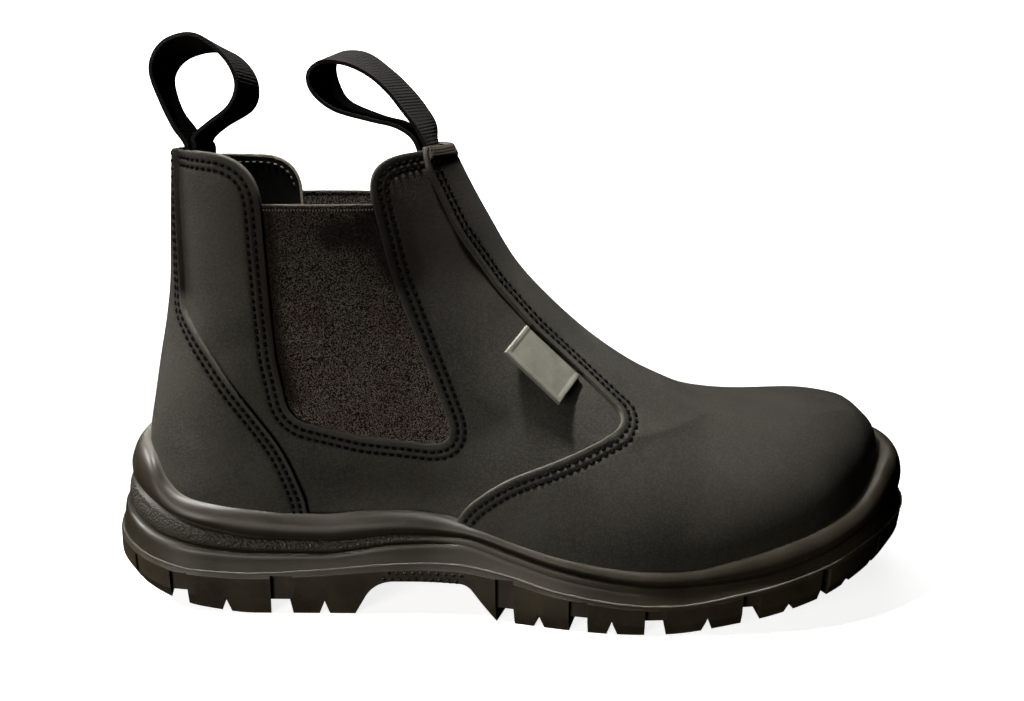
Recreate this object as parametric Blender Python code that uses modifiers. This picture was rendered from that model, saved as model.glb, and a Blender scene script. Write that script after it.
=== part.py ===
"""Pull-on safety boot: lugged two-layer sole, hollow leather upper, side elastics, two webbing pull loops.

Every size is in millimetres in the boot's own frame: x runs from the back of the heel towards the toe,
y towards the inner side of the foot and z up from the floor. MM turns it into metres.
It is a right boot, so the outer (lateral) side is at negative y.
"""

import math
from typing import NamedTuple

import bmesh
import bpy
import numpy as np

MM = 0.001

# Driving dimensions
SOLE_LENGTH = 305.0
UPPER_TOE_X = 294.0
WALL = 2.2
OVERLAY = 1.3
GAP = 0.3
ELASTIC = 1.3
ELASTIC_INSET = 0.5
INSOLE = 3.0
WEBBING_WIDTH = 25.0
WEBBING = 1.6
TOE_SWING = 10.0
ARCH_POWER = 2.2
BACK_POWER = 2.3
BULGE_HEIGHT = 9.0
BULGE_TUCK = 0.06
COLLAR_TILT, COLLAR_TILT_FROM = 0.04, 13.0


class PlanRow(NamedTuple):
    """Half-widths of a plan outline at one place along the boot."""

    x: float
    lateral: float
    medial: float


class HeightRow(NamedTuple):
    """Heights of the sole's lines at one place along the boot."""

    x: float
    tread: float
    parting: float
    ledge: float
    groove: float
    bead: float
    bed: float


class BackRow(NamedTuple):
    """One point of the upper's back line."""

    z: float
    x: float


class Ring(NamedTuple):
    """One tilted section of the upper, from its point on the back line to its point on the front ridge."""

    back_z: float
    front_x: float
    front_z: float
    sag: float
    shaft: float
    back_round: float


class SideRow(NamedTuple):
    """One line round the sole: a share of the way between two named heights, its ends and its outset."""

    low: str
    high: str
    share: float
    back: float
    front: float
    outset: float
    heel_step: float


class GapRow(NamedTuple):
    """One gap between two lugs: its place along the edge, its width there and how far in it runs."""

    x: float
    width: float
    depth: float


class Corner(NamedTuple):
    """One corner of a panel's outline seen from the side, with the radius that rounds it."""

    x: float
    z: float
    radius: float


class StrapRow(NamedTuple):
    """One point of a pull loop's centre line.

    turn and tip angle the webbing's width, in degrees, and cup is how far its edges bend along x.
    """

    x: float
    z: float
    turn: float
    tip: float
    cup: float


# Tables of the shape
SOLE_PLAN = (
    PlanRow(x=0, lateral=39.0, medial=38.0),
    PlanRow(x=45, lateral=39.5, medial=38.5),
    PlanRow(x=115, lateral=40.5, medial=34.5),
    PlanRow(x=205, lateral=58.0, medial=50.0),
    PlanRow(x=265, lateral=58.0, medial=47.5),
    PlanRow(x=305, lateral=52.0, medial=44.0),
)
UPPER_PLAN = (
    PlanRow(x=0, lateral=33.5, medial=32.5),
    PlanRow(x=50, lateral=33.5, medial=32.5),
    PlanRow(x=115, lateral=35.0, medial=30.0),
    PlanRow(x=205, lateral=53.0, medial=45.5),
    PlanRow(x=262, lateral=53.5, medial=43.5),
    PlanRow(x=294, lateral=48.0, medial=40.0),
)
HEEL_CAP, HEEL_POWER = 40.0, 2.3
TOE_CAP, TOE_POWER = 75.0, 2.1
UPPER_TOE_CAP, UPPER_TOE_POWER = 70.0, 2.15

HEIGHTS = (
    HeightRow(x=0, tread=13.0, parting=26.0, ledge=35.0, groove=46.0, bead=60.0, bed=28.0),
    HeightRow(x=20, tread=6.8, parting=20.5, ledge=28.0, groove=37.5, bead=50.0, bed=28.0),
    HeightRow(x=36, tread=2.6, parting=17.6, ledge=25.2, groove=32.8, bead=43.0, bed=27.8),
    HeightRow(x=56, tread=0.0, parting=16.4, ledge=23.4, groove=29.0, bead=37.6, bed=27.5),
    HeightRow(x=80, tread=0.0, parting=17.8, ledge=23.2, groove=28.6, bead=36.4, bed=27.0),
    HeightRow(x=110, tread=0.0, parting=20.5, ledge=27.3, groove=31.1, bead=39.0, bed=26.0),
    HeightRow(x=130, tread=0.0, parting=21.1, ledge=28.0, groove=30.9, bead=38.5, bed=24.5),
    HeightRow(x=148, tread=0.0, parting=19.0, ledge=23.6, groove=26.5, bead=36.0, bed=22.5),
    HeightRow(x=165, tread=0.0, parting=15.0, ledge=19.2, groove=22.2, bead=30.0, bed=18.6),
    HeightRow(x=190, tread=0.0, parting=12.1, ledge=15.8, groove=18.8, bead=24.5, bed=15.4),
    HeightRow(x=207, tread=0.0, parting=11.4, ledge=14.8, groove=17.6, bead=24.3, bed=15.0),
    HeightRow(x=235, tread=3.4, parting=15.5, ledge=17.6, groove=19.6, bead=27.4, bed=18.6),
    HeightRow(x=260, tread=8.0, parting=21.0, ledge=22.8, groove=24.6, bead=33.0, bed=24.2),
    HeightRow(x=280, tread=13.2, parting=26.5, ledge=28.6, groove=30.7, bead=44.0, bed=29.4),
    HeightRow(x=305, tread=18.4, parting=30.0, ledge=33.5, groove=37.0, bead=51.5, bed=33.0),
)
BACK_LINE = (
    BackRow(z=28, x=17.5),
    BackRow(z=45, x=17.0),
    BackRow(z=60, x=18.0),
    BackRow(z=75, x=21.0),
    BackRow(z=90, x=24.4),
    BackRow(z=105, x=28.0),
    BackRow(z=118, x=30.3),
    BackRow(z=140, x=32.3),
    BackRow(z=164, x=34.7),
)

RINGS = (
    Ring(back_z=28.3, front_x=294.0, front_z=32.8, sag=1.00, shaft=0.00, back_round=36),
    Ring(back_z=34.0, front_x=294.0, front_z=38.8, sag=0.95, shaft=0.00, back_round=36),
    Ring(back_z=39.0, front_x=293.8, front_z=45.0, sag=0.85, shaft=0.00, back_round=36),
    Ring(back_z=44.0, front_x=290.6, front_z=58.0, sag=0.70, shaft=0.00, back_round=36),
    Ring(back_z=49.0, front_x=281.0, front_z=65.4, sag=0.50, shaft=0.00, back_round=37),
    Ring(back_z=54.0, front_x=265.0, front_z=67.3, sag=0.32, shaft=0.00, back_round=38),
    Ring(back_z=60.0, front_x=246.0, front_z=66.8, sag=0.18, shaft=0.00, back_round=38),
    Ring(back_z=67.0, front_x=226.0, front_z=68.2, sag=0.08, shaft=0.03, back_round=39),
    Ring(back_z=75.0, front_x=204.5, front_z=76.8, sag=0.00, shaft=0.12, back_round=40),
    Ring(back_z=84.0, front_x=186.2, front_z=88.7, sag=0.00, shaft=0.30, back_round=41),
    Ring(back_z=95.0, front_x=168.6, front_z=104.0, sag=0.00, shaft=0.55, back_round=43),
    Ring(back_z=109.0, front_x=153.0, front_z=121.2, sag=0.00, shaft=0.80, back_round=45),
    Ring(back_z=126.0, front_x=142.8, front_z=138.4, sag=0.00, shaft=0.95, back_round=47),
    Ring(back_z=145.0, front_x=135.6, front_z=151.8, sag=0.00, shaft=1.00, back_round=48),
    Ring(back_z=163.5, front_x=129.6, front_z=164.4, sag=0.00, shaft=1.00, back_round=48),
)
SHAFT_LATERAL, SHAFT_MEDIAL = 36.5, 36.0
SHAFT_FRONT_ROUND = 54.0

SIDE_STATIONS = 22
UPPER_STATIONS = 18
UPPER_LEVELS = (0, 0.5, 1, 2, 2.5, 3, 3.5, 4, 4.5, 5, 6, 7, 8, 9, 10, 11, 12, 13, 14)
RECESS_LEVELS = UPPER_LEVELS[:13]
ROOM_LEVELS = (0.4, *UPPER_LEVELS[1:13])

MIDSOLE_SIDE = (
    SideRow("parting", "ledge", 0.00, back=3.6, front=305.5, outset=0.0, heel_step=0.0),
    SideRow("parting", "ledge", 0.50, back=4.4, front=305.1, outset=-0.5, heel_step=0.0),
    SideRow("parting", "ledge", 0.95, back=5.2, front=304.7, outset=-0.9, heel_step=0.0),
    SideRow("ledge", "groove", 0.08, back=6.2, front=304.5, outset=-1.0, heel_step=-1.0),
    SideRow("ledge", "groove", 0.85, back=8.0, front=303.9, outset=-1.4, heel_step=-1.0),
    SideRow("groove", "bead", 0.00, back=9.8, front=304.0, outset=-3.0, heel_step=-0.4),
    SideRow("groove", "bead", 0.16, back=8.9, front=304.6, outset=-1.7, heel_step=0.0),
    SideRow("groove", "bead", 0.48, back=9.9, front=304.2, outset=-1.3, heel_step=0.0),
    SideRow("groove", "bead", 0.82, back=11.6, front=302.5, outset=-2.4, heel_step=0.0),
    SideRow("groove", "bead", 1.00, back=13.2, front=300.6, outset=-4.4, heel_step=0.0),
    SideRow("groove", "bead", 0.96, back=19.0, front=291.0, outset=-10.0, heel_step=0.0),
)
OUTSOLE_SIDE = (
    SideRow("tread", "parting", 0.00, back=4.6, front=303.1, outset=-1.0, heel_step=0.0),
    SideRow("tread", "parting", 0.35, back=2.2, front=305.3, outset=0.4, heel_step=0.0),
    SideRow("tread", "parting", 0.88, back=2.5, front=305.9, outset=0.8, heel_step=0.0),
    SideRow("tread", "parting", 1.00, back=3.4, front=305.5, outset=0.2, heel_step=0.0),
)
HEEL_STEP_FROM, HEEL_STEP_TO = 105.0, 132.0

CLEAR, REACH = 8.0, 90.0
LUG = 5.5
LUG_FACE = 1.6
LUG_LIP = 1.4
HEEL_LEAN, FOREFOOT_LEAN = -0.35, 0.08
GAPS = (
    GapRow(x=5.5, width=1.6, depth=11),
    GapRow(x=15.5, width=1.6, depth=13),
    GapRow(x=32.0, width=6.6, depth=22),
    GapRow(x=69.4, width=8.0, depth=24),
    GapRow(x=149.4, width=6.6, depth=24),
    GapRow(x=174.6, width=6.6, depth=24),
    GapRow(x=203.4, width=7.6, depth=24),
    GapRow(x=236.6, width=6.8, depth=22),
    GapRow(x=264.0, width=4.0, depth=20),
    GapRow(x=286.0, width=3.0, depth=14),
)
NOTCH_X = (48.8, 84.6, 161.2, 187.5, 220.0, 250.5, 274.5)
NOTCH_WIDTH, NOTCH_HEIGHT, NOTCH_DEPTH = 6.0, 4.5, 9.0
CHANNEL_FROM, CHANNEL_TO, CHANNEL_HEIGHT = 21.0, 26.0, 4.8
CROSS_X = (50.0, 88.0, 164.0, 190.0, 221.0, 250.0)
CROSS_WIDTH = 5.0
ARCH = (
    Corner(95.6, -4.0, 0),
    Corner(95.6, 0.0, 0),
    Corner(103.0, 13.7, 14),
    Corner(136.5, 14.0, 6),
    Corner(147.0, 0.0, 0),
    Corner(147.0, -4.0, 0),
)

GUSSET = (
    Corner(71.3, 95.0, 60),
    Corner(74.5, 72.5, 11),
    Corner(100.0, 66.2, 30),
    Corner(133.6, 62.8, 7.5),
    Corner(112.0, 124.0, 80),
)
HORNS_LATERAL = (
    Corner(103.4, 162.5, 17),
    Corner(134.0, 165.4, 0),
    Corner(134.0, 178.0, 0),
    Corner(33.0, 178.0, 0),
    Corner(33.0, 165.4, 0),
    Corner(69.6, 163.4, 21),
)
HORNS_MEDIAL = (
    Corner(103.4, 156.7, 17),
    Corner(123.0, 159.8, 8),
    Corner(131.0, 165.2, 0),
    Corner(131.0, 178.0, 0),
    Corner(33.0, 178.0, 0),
    Corner(34.5, 164.8, 0),
    Corner(40.0, 159.8, 6),
    Corner(69.6, 157.6, 21),
)
GUSSET_TOP_LATERAL, GUSSET_TOP_MEDIAL = 148.0, 144.2
VAMP = (
    Corner(122.2, 176.0, 0),
    Corner(122.6, 159.5, 25),
    Corner(133.0, 137.0, 60),
    Corner(146.5, 117.5, 60),
    Corner(160.0, 102.2, 60),
    Corner(193.6, 71.4, 4.5),
    Corner(150.0, 53.0, 60),
    Corner(131.0, 37.4, 40),
    Corner(129.5, 22.0, 0),
    Corner(310.0, 22.0, 0),
    Corner(310.0, 176.0, 0),
)
COUNTER = (
    Corner(38.2, 176.0, 0),
    Corner(38.8, 111.0, 12),
    Corner(56.5, 83.5, 80),
    Corner(72.8, 59.8, 60),
    Corner(79.0, 40.0, 30),
    Corner(79.4, 20.0, 0),
    Corner(5.0, 20.0, 0),
    Corner(5.0, 176.0, 0),
)
OVERLAYS = (("vamp", VAMP), ("heel_counter", COUNTER))

REAR_STRAP = (
    StrapRow(x=37.0, z=146.0, turn=0, tip=0, cup=2.0),
    StrapRow(x=38.6, z=162.5, turn=0, tip=-3, cup=1.9),
    StrapRow(x=35.5, z=170.5, turn=0, tip=-5, cup=0.6),
    StrapRow(x=32.4, z=177.5, turn=-2, tip=-8, cup=0.0),
    StrapRow(x=29.9, z=187.0, turn=0, tip=-10, cup=0.0),
    StrapRow(x=31.5, z=193.0, turn=0, tip=-13, cup=0.0),
    StrapRow(x=36.5, z=197.5, turn=0, tip=-14, cup=0.0),
    StrapRow(x=44.7, z=199.4, turn=1, tip=-13, cup=0.0),
    StrapRow(x=52.0, z=196.8, turn=3, tip=-8, cup=0.0),
    StrapRow(x=57.6, z=190.9, turn=4, tip=-6, cup=0.0),
    StrapRow(x=59.4, z=184.0, turn=4, tip=-6, cup=0.0),
    StrapRow(x=56.5, z=177.3, turn=5, tip=-5, cup=0.0),
    StrapRow(x=48.0, z=171.6, turn=0, tip=-5, cup=0.0),
    StrapRow(x=42.0, z=167.0, turn=-1, tip=-6, cup=0.7),
    StrapRow(x=41.0, z=162.5, turn=0, tip=-3, cup=1.9),
    StrapRow(x=39.4, z=146.0, turn=0, tip=0, cup=2.0),
)
FRONT_STRAP = (
    StrapRow(x=133.9, z=146.0, turn=0, tip=0, cup=-2.8),
    StrapRow(x=127.4, z=160.5, turn=0, tip=0, cup=-3.0),
    StrapRow(x=122.8, z=170.0, turn=11, tip=0, cup=-0.5),
    StrapRow(x=118.0, z=176.9, turn=15, tip=-1, cup=0.0),
    StrapRow(x=112.9, z=183.3, turn=14, tip=0, cup=0.0),
    StrapRow(x=106.7, z=189.0, turn=13, tip=2, cup=0.0),
    StrapRow(x=98.5, z=193.9, turn=10, tip=8, cup=0.0),
    StrapRow(x=89.9, z=194.5, turn=8, tip=7, cup=0.0),
    StrapRow(x=86.0, z=190.5, turn=13, tip=5, cup=0.0),
    StrapRow(x=87.0, z=184.1, turn=13, tip=4, cup=0.0),
    StrapRow(x=92.6, z=178.0, turn=6, tip=3, cup=0.0),
    StrapRow(x=104.6, z=173.7, turn=6, tip=-1, cup=0.0),
    StrapRow(x=113.4, z=171.5, turn=4, tip=-1, cup=-0.3),
    StrapRow(x=119.8, z=167.4, turn=2, tip=-1, cup=-1.2),
    StrapRow(x=124.2, z=160.5, turn=0, tip=0, cup=-3.0),
    StrapRow(x=130.6, z=146.0, turn=0, tip=0, cup=-2.8),
)
STRAP_STEPS = 2

TAG_LENGTH, TAG_WIDTH, TAG_THICKNESS = 26.0, 15.4, 1.8
TAG_ROOT = (166.6, -27.1, 95.5)
TAG_ALONG = (19.7, -2.6, -18.6)
TAG_ACROSS = (-8.2, -12.7, -6.6)


# Shape functions


def smooth(xs, ys, at):
    """Cubic through the points (xs, ys) that never overshoots them, read at the places `at`."""
    xs, ys = np.asarray(xs, float), np.asarray(ys, float)
    at = np.clip(np.asarray(at, float), xs[0], xs[-1])
    step = np.diff(xs)
    slope = np.diff(ys) / step
    before, after = slope[:-1], slope[1:]
    weight_before, weight_after = step[:-1] + 2 * step[1:], 2 * step[:-1] + step[1:]
    same_way = before * after > 0
    safe_before = np.where(same_way, before, 1.0)
    safe_after = np.where(same_way, after, 1.0)
    mean = (weight_before + weight_after) / (weight_before / safe_after + weight_after / safe_before)
    tangent = np.concatenate([[slope[0]], np.where(same_way, mean, 0.0), [slope[-1]]])
    k = np.clip(np.searchsorted(xs, at, side="right") - 1, 0, len(step) - 1)
    t = (at - xs[k]) / step[k]
    line = ys[k] + (ys[k + 1] - ys[k]) * t * t * (3 - 2 * t)
    return line + step[k] * t * (1 - t) * (tangent[k] * (1 - t) - tangent[k + 1] * t)


def column(rows, name, at):
    """One named column of a table of rows with an x column, read at the places `at`."""
    return smooth([r.x for r in rows], [getattr(r, name) for r in rows], at)


def ease(t):
    """0 to 1 with flat ends."""
    t = np.clip(t, 0.0, 1.0)
    return t * t * (3 - 2 * t)


def cap(depth, length, power):
    """Rounding of an outline's end: 0 at the end itself, 1 from `length` inside it."""
    closeness = 1 - np.clip(np.asarray(depth, float) / length, 0.0, 1.0)
    return (1 - closeness**power) ** (1 / power)


def swing(x):
    """How far the boot's centre line bends towards the inner side."""
    return TOE_SWING * ease((np.asarray(x, float) - 140) / (SOLE_LENGTH - 140))


def ring_column(name, level):
    """One named column of the upper's rings, read at the levels `level`, counted up from the feather line."""
    return smooth(range(len(RINGS)), [getattr(r, name) for r in RINGS], level)


def back_x(z):
    """Back line of the upper at the heights z."""
    return smooth([row.z for row in BACK_LINE], [row.x for row in BACK_LINE], z)


def ridge_z(x):
    """Height of the upper's front ridge over the places x."""
    rows = sorted((r.front_x, r.front_z) for r in RINGS[2:])
    return smooth([row[0] for row in rows], [row[1] for row in rows], x)


def ridge_x(z):
    """Place of the upper's front ridge at the heights z of the shaft."""
    rows = [(r.front_z, r.front_x) for r in RINGS[6:]]
    return smooth([row[0] for row in rows], [row[1] for row in rows], z)


def upper_point(level, along, side):
    """Points of the upper's outer face.

    level counts rings up from the feather line, along runs 0 to 1 from the back line to the front ridge and
    side is -1 on the outer side of the foot, +1 on the inner side.
    """
    level, along = np.broadcast_arrays(np.asarray(level, float), np.asarray(along, float))
    foot = RINGS[0]
    heel_z = ring_column("back_z", level)
    heel_x = back_x(heel_z)
    x = heel_x + (ring_column("front_x", level) - heel_x) * along
    chord = heel_z + (ring_column("front_z", level) - heel_z) * along
    foot_chord = foot.back_z + (foot.front_z - foot.back_z) * along
    bed = column(HEIGHTS, "bed", x)
    z = chord + ring_column("sag", level) * (bed + GAP - foot_chord)
    shaft = ring_column("shaft", level)
    full = bed + BULGE_HEIGHT
    tuck = 1 - BULGE_TUCK * np.clip((full - z) / BULGE_HEIGHT, 0.0, 1.0) ** 2
    width_name, shaft_width = ("lateral", SHAFT_LATERAL) if side < 0 else ("medial", SHAFT_MEDIAL)
    toe = cap(UPPER_TOE_X - x, UPPER_TOE_CAP, UPPER_TOE_POWER)
    foot_width = column(UPPER_PLAN, width_name, x) * tuck * toe
    width = foot_width * (1 - shaft) + shaft_width * shaft
    over_foot = np.clip((z - full) / (ridge_z(x) - full), 0.0, 1.0)
    over_shaft = np.clip(1 - (ridge_x(z) - x) / SHAFT_FRONT_ROUND, 0.0, 1.0)
    over = np.where(along >= 1.0, 1.0, over_foot * (1 - shaft) + over_shaft * shaft)
    front = np.where((level <= 2) & (along >= 1.0), 0.0, (1 - over**ARCH_POWER) ** (1 / ARCH_POWER))
    rear = cap(x - heel_x, ring_column("back_round", level), BACK_POWER)
    across = side * width * front * rear
    z = z - COLLAR_TILT * across * ease(level - COLLAR_TILT_FROM)
    return np.stack([x, swing(x) + across, z], axis=-1)


# Building the solids


def side_loop(row, stations=SIDE_STATIONS, grow=0.0):
    """Closed line round the sole: along the outer side to the toe and back along the inner side."""
    share = (1 - np.cos(np.linspace(0, math.pi, stations + 1))) / 2
    plan_x = SOLE_LENGTH * share
    x = row.back - grow + (row.front - row.back + 2 * grow) * share
    end = cap(plan_x, HEEL_CAP, HEEL_POWER) * cap(SOLE_LENGTH - plan_x, TOE_CAP, TOE_POWER)
    step = row.heel_step * (1 - ease((plan_x - HEEL_STEP_FROM) / (HEEL_STEP_TO - HEEL_STEP_FROM)))
    out = row.outset + grow + step
    low, high = column(HEIGHTS, row.low, plan_x), column(HEIGHTS, row.high, plan_x)
    z = low + (high - low) * row.share
    lateral = np.stack([x, swing(x) - (column(SOLE_PLAN, "lateral", plan_x) + out) * end, z], axis=-1)
    medial = np.stack([x, swing(x) + (column(SOLE_PLAN, "medial", plan_x) + out) * end, z], axis=-1)
    return np.concatenate([lateral, medial[-2:0:-1]])


def upper_rings(levels, offset):
    """Closed rings of the upper's face moved out along its normals by `offset`."""
    along = (1 - np.cos(np.linspace(0, math.pi, UPPER_STATIONS + 1))) / 2
    level = np.asarray(levels, float)[:, None]
    lateral, medial = upper_point(level, along, -1), upper_point(level, along, 1)
    rings = np.concatenate([lateral, medial[:, -2:0:-1]], axis=1)
    round_the_ring = np.roll(rings, -1, axis=1) - np.roll(rings, 1, axis=1)
    up_the_wall = np.gradient(rings, axis=0)
    normal = np.cross(round_the_ring, up_the_wall)
    normal /= np.linalg.norm(normal, axis=-1, keepdims=True)
    return rings + normal * offset


def sole_middle():
    """Middle of the sole's widest line, which the part's origin lies under."""
    x, y = np.concatenate([side_loop(row) for row in OUTSOLE_SIDE])[:, :2].T
    return np.array([(x.min() + x.max()) / 2, (y.min() + y.max()) / 2, 0.0])


ORIGIN = sole_middle()


def rounded(corners, steps=5):
    """Closed side-view outline through the corners, each rounded by its radius."""
    points = []
    for k, corner in enumerate(corners):
        here = np.array([corner.x, corner.z])
        before, after = corners[k - 1], corners[(k + 1) % len(corners)]
        to_before = np.array([before.x, before.z]) - here
        to_after = np.array([after.x, after.z]) - here
        reach_before, reach_after = np.linalg.norm(to_before), np.linalg.norm(to_after)
        to_before, to_after = to_before / reach_before, to_after / reach_after
        half = math.acos(np.clip(to_before @ to_after, -1, 1)) / 2
        reach = min(corner.radius / math.tan(half), 0.48 * reach_before, 0.48 * reach_after)
        if reach < 0.05:
            points.append(here)
            continue
        start, stop = here + to_before * reach, here + to_after * reach
        for t in np.linspace(0, 1, steps + 1):
            points.append(start * (1 - t) ** 2 + here * 2 * t * (1 - t) + stop * t**2)
    return np.array(points)


def shrunk(outline, amount):
    """Closed outline moved in by `amount` along its own normals."""
    ahead, behind = np.roll(outline, -1, axis=0) - outline, outline - np.roll(outline, 1, axis=0)
    ahead /= np.linalg.norm(ahead, axis=1, keepdims=True)
    behind /= np.linalg.norm(behind, axis=1, keepdims=True)
    area = np.sum(outline[:, 0] * np.roll(outline[:, 1], -1) - np.roll(outline[:, 0], -1) * outline[:, 1])
    turn = ahead + behind
    inward = np.stack([-turn[:, 1], turn[:, 0]], axis=-1) * math.copysign(1, area)
    inward /= np.linalg.norm(inward, axis=1, keepdims=True)
    return outline + inward * amount


def clear_scene():
    """Remove whatever the file opened with."""
    for item in list(bpy.data.objects):
        bpy.data.objects.remove(item, do_unlink=True)


def new_collection(name):
    """New collection in the scene."""
    made = bpy.data.collections.new(name)
    bpy.context.scene.collection.children.link(made)
    return made


def new_object(name, points, faces, collection):
    """Object whose mesh has the points (millimetres, the boot's frame) and faces, turned to face outwards."""
    mesh = bpy.data.meshes.new(name)
    mesh.from_pydata(((np.asarray(points, float) - ORIGIN) * MM).tolist(), [], faces)
    work = bmesh.new()
    work.from_mesh(mesh)
    bmesh.ops.recalc_face_normals(work, faces=work.faces)
    work.to_mesh(mesh)
    work.free()
    made = bpy.data.objects.new(name, mesh)
    collection.objects.link(made)
    return made


def paint(item, colour, roughness):
    """Give an object its own material."""
    material = bpy.data.materials.new(item.name)
    material.use_nodes = True
    shader = material.node_tree.nodes["Principled BSDF"]
    shader.inputs["Base Color"].default_value = (*colour, 1.0)
    shader.inputs["Roughness"].default_value = roughness
    item.data.materials.append(material)


def strip_cap(first, count):
    """Faces that close a ring of `count` points, each from the outer side straight across to the inner."""
    half = count // 2
    faces = []
    for k in range(half):
        corners = [k, k + 1, count - k - 1, (count - k) % count]
        kept = [c for n, c in enumerate(corners) if c not in corners[:n]]
        faces.append([first + c for c in kept])
    return faces


def loft(name, rings, collection, capped=True):
    """Skin over a stack of closed rings with the same number of points, closed at both ends where capped.

    Its quads are split the same way on every skin, so that two skins a gap apart stay a gap apart.
    """
    rings = np.asarray(rings)
    levels, count = rings.shape[:2]
    faces = []
    for level in range(levels - 1):
        for k in range(count):
            after = (k + 1) % count
            low, high = level * count, (level + 1) * count
            faces.append([low + k, low + after, high + after])
            faces.append([low + k, high + after, high + k])
    if capped:
        faces += strip_cap(0, count) + strip_cap((levels - 1) * count, count)
    return new_object(name, rings.reshape(-1, 3), faces, collection)


def prism(name, outline, low_y, high_y, collection):
    """Side-view outline carried across the boot from low_y to high_y."""
    count = len(outline)
    ends = [np.insert(outline, 1, y, axis=1) for y in (low_y, high_y)]
    sides = [[k, (k + 1) % count, count + (k + 1) % count, count + k] for k in range(count)]
    faces = sides + [list(range(count)), list(range(2 * count - 1, count - 1, -1))]
    return new_object(name, np.concatenate(ends), faces, collection)


def thicken(item, thickness, outwards):
    """Give an open surface its wall."""
    wall = item.modifiers.new("wall", "SOLIDIFY")
    wall.thickness = thickness * MM
    wall.offset = 1.0 if outwards else -1.0
    wall.use_even_offset = True
    wall.use_quality_normals = True


def cut(item, cutter, operation="DIFFERENCE"):
    """Cut an object with another, or keep what both share."""
    step = item.modifiers.new(cutter.name, "BOOLEAN")
    step.operation = operation
    step.solver = "EXACT"
    step.object = cutter
    cutter.hide_render = True
    cutter.display_type = "WIRE"


def edge_frame(x, side):
    """Point on the sole's edge at x, with its outward and along directions in plan."""
    stations = 240
    whole = side_loop(OUTSOLE_SIDE[1], stations)
    inner_side = np.concatenate([whole[:1], whole[: stations - 1 : -1]])
    loop = whole[: stations + 1] if side < 0 else inner_side
    k = int(np.argmin(np.abs(loop[1:-1, 0] - x))) + 1
    along = loop[k + 1, :2] - loop[k - 1, :2]
    along /= np.linalg.norm(along)
    outward = np.array([along[1], -along[0]]) * (1 if side < 0 else -1)
    return loop[k, :2], outward, along


def lean(x):
    """How far the gaps and notches of the lugs run along the boot for each millimetre inwards."""
    return HEEL_LEAN if x < ARCH[2].x else FOREFOOT_LEAN


def edge_prism(x, side, profile, width):
    """Corner points of a profile (out, z) at the sole's edge, carried along the edge by `width`."""
    point, outward, along = edge_frame(x, side)
    corners = []
    for shift in (-width / 2, width / 2):
        for out, z in profile:
            corners.append([*(point + outward * out + along * (shift - lean(x) * out)), z])
    return corners


def joined_prisms(name, prisms, collection):
    """One cutter from several separate prisms, each given as its two end outlines one after the other."""
    points, faces = [], []
    for corners in prisms:
        first, count = len(points), len(corners) // 2
        points += corners
        sides = [[k, (k + 1) % count, count + (k + 1) % count, count + k] for k in range(count)]
        ends = [list(range(count)), list(range(2 * count - 1, count - 1, -1))]
        faces += [[first + c for c in face] for face in sides + ends]
    return new_object(name, points, faces, collection)


def lug_gaps(collection):
    """Cutter for the gaps between the lugs: a channel under the tread and a shallow recess up the side."""
    prisms = []
    for row in GAPS:
        tread = float(column(HEIGHTS, "tread", row.x))
        top = float(column(HEIGHTS, "parting", row.x)) - LUG_LIP
        root, under = tread + LUG, tread - CLEAR
        outer = ((CLEAR, under), (CLEAR, top), (-LUG_FACE, top), (-LUG_FACE, root))
        profile = (*outer, (-row.depth, root), (-row.depth, under))
        prisms += [edge_prism(row.x, side, profile, row.width) for side in (-1, 1)]
    return joined_prisms("lug_gaps", prisms, collection)


def lug_notches(collection):
    """Cutter for the V notch in the foot of each long lug."""
    prisms = []
    for x in NOTCH_X:
        tread = float(column(HEIGHTS, "tread", x))
        foot, half = tread - 1, NOTCH_WIDTH / 2
        notch = ((-half, foot), (half, foot), (0.0, tread + NOTCH_HEIGHT))
        for side in (-1, 1):
            point, outward, along = edge_frame(x, side)
            ends = []
            for out in (CLEAR, -NOTCH_DEPTH):
                for shift, z in notch:
                    ends.append([*(point + outward * out + along * (shift - lean(x) * out)), z])
            prisms.append(ends)
    return joined_prisms("lug_notches", prisms, collection)


def tread_channel(collection):
    """Cutter for the channel that runs round inside the edge lugs."""
    row = OUTSOLE_SIDE[0]
    loops = []
    outer = ((CHANNEL_FROM, -CLEAR), (CHANNEL_FROM, CHANNEL_HEIGHT))
    inner = ((CHANNEL_TO, CHANNEL_HEIGHT), (CHANNEL_TO, -CLEAR))
    for inset, lift in (*outer, *inner):
        loop = side_loop(row, grow=-inset)
        loop[:, 2] = column(HEIGHTS, "tread", loop[:, 0]) + lift
        loops.append(loop)
    count = len(loops[0])
    faces = []
    for level in range(4):
        low, high = level * count, (level + 1) % 4 * count
        for k in range(count):
            after = (k + 1) % count
            faces.append([low + k, low + after, high + after, high + k])
    return new_object("tread_channel", np.concatenate(loops), faces, collection)


def tread_crosses(collection):
    """Cutter for the cross grooves between the middle lugs."""
    prisms = []
    for x in CROSS_X:
        reach = float(column(SOLE_PLAN, "medial", x)) - (CHANNEL_FROM + CHANNEL_TO) / 2
        tread = float(column(HEIGHTS, "tread", x))
        ends = []
        for y in (-reach, reach):
            for dx, dz in ((-0.5, -CLEAR), (0.5, -CLEAR), (0.5, CHANNEL_HEIGHT), (-0.5, CHANNEL_HEIGHT)):
                ends.append([x + dx * CROSS_WIDTH, float(swing(x)) + y, tread + dz])
        prisms.append(ends)
    return joined_prisms("tread_crosses", prisms, collection)


def below(outline, top):
    """The part of a closed outline under the height `top`, closed straight across at that height."""
    points = []
    for here, after in zip(outline, np.roll(outline, -1, axis=0)):
        if here[1] <= top:
            points.append(here)
        if (here[1] <= top) != (after[1] <= top):
            points.append(here + (after - here) * (top - here[1]) / (after[1] - here[1]))
    return np.array(points)


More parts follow.
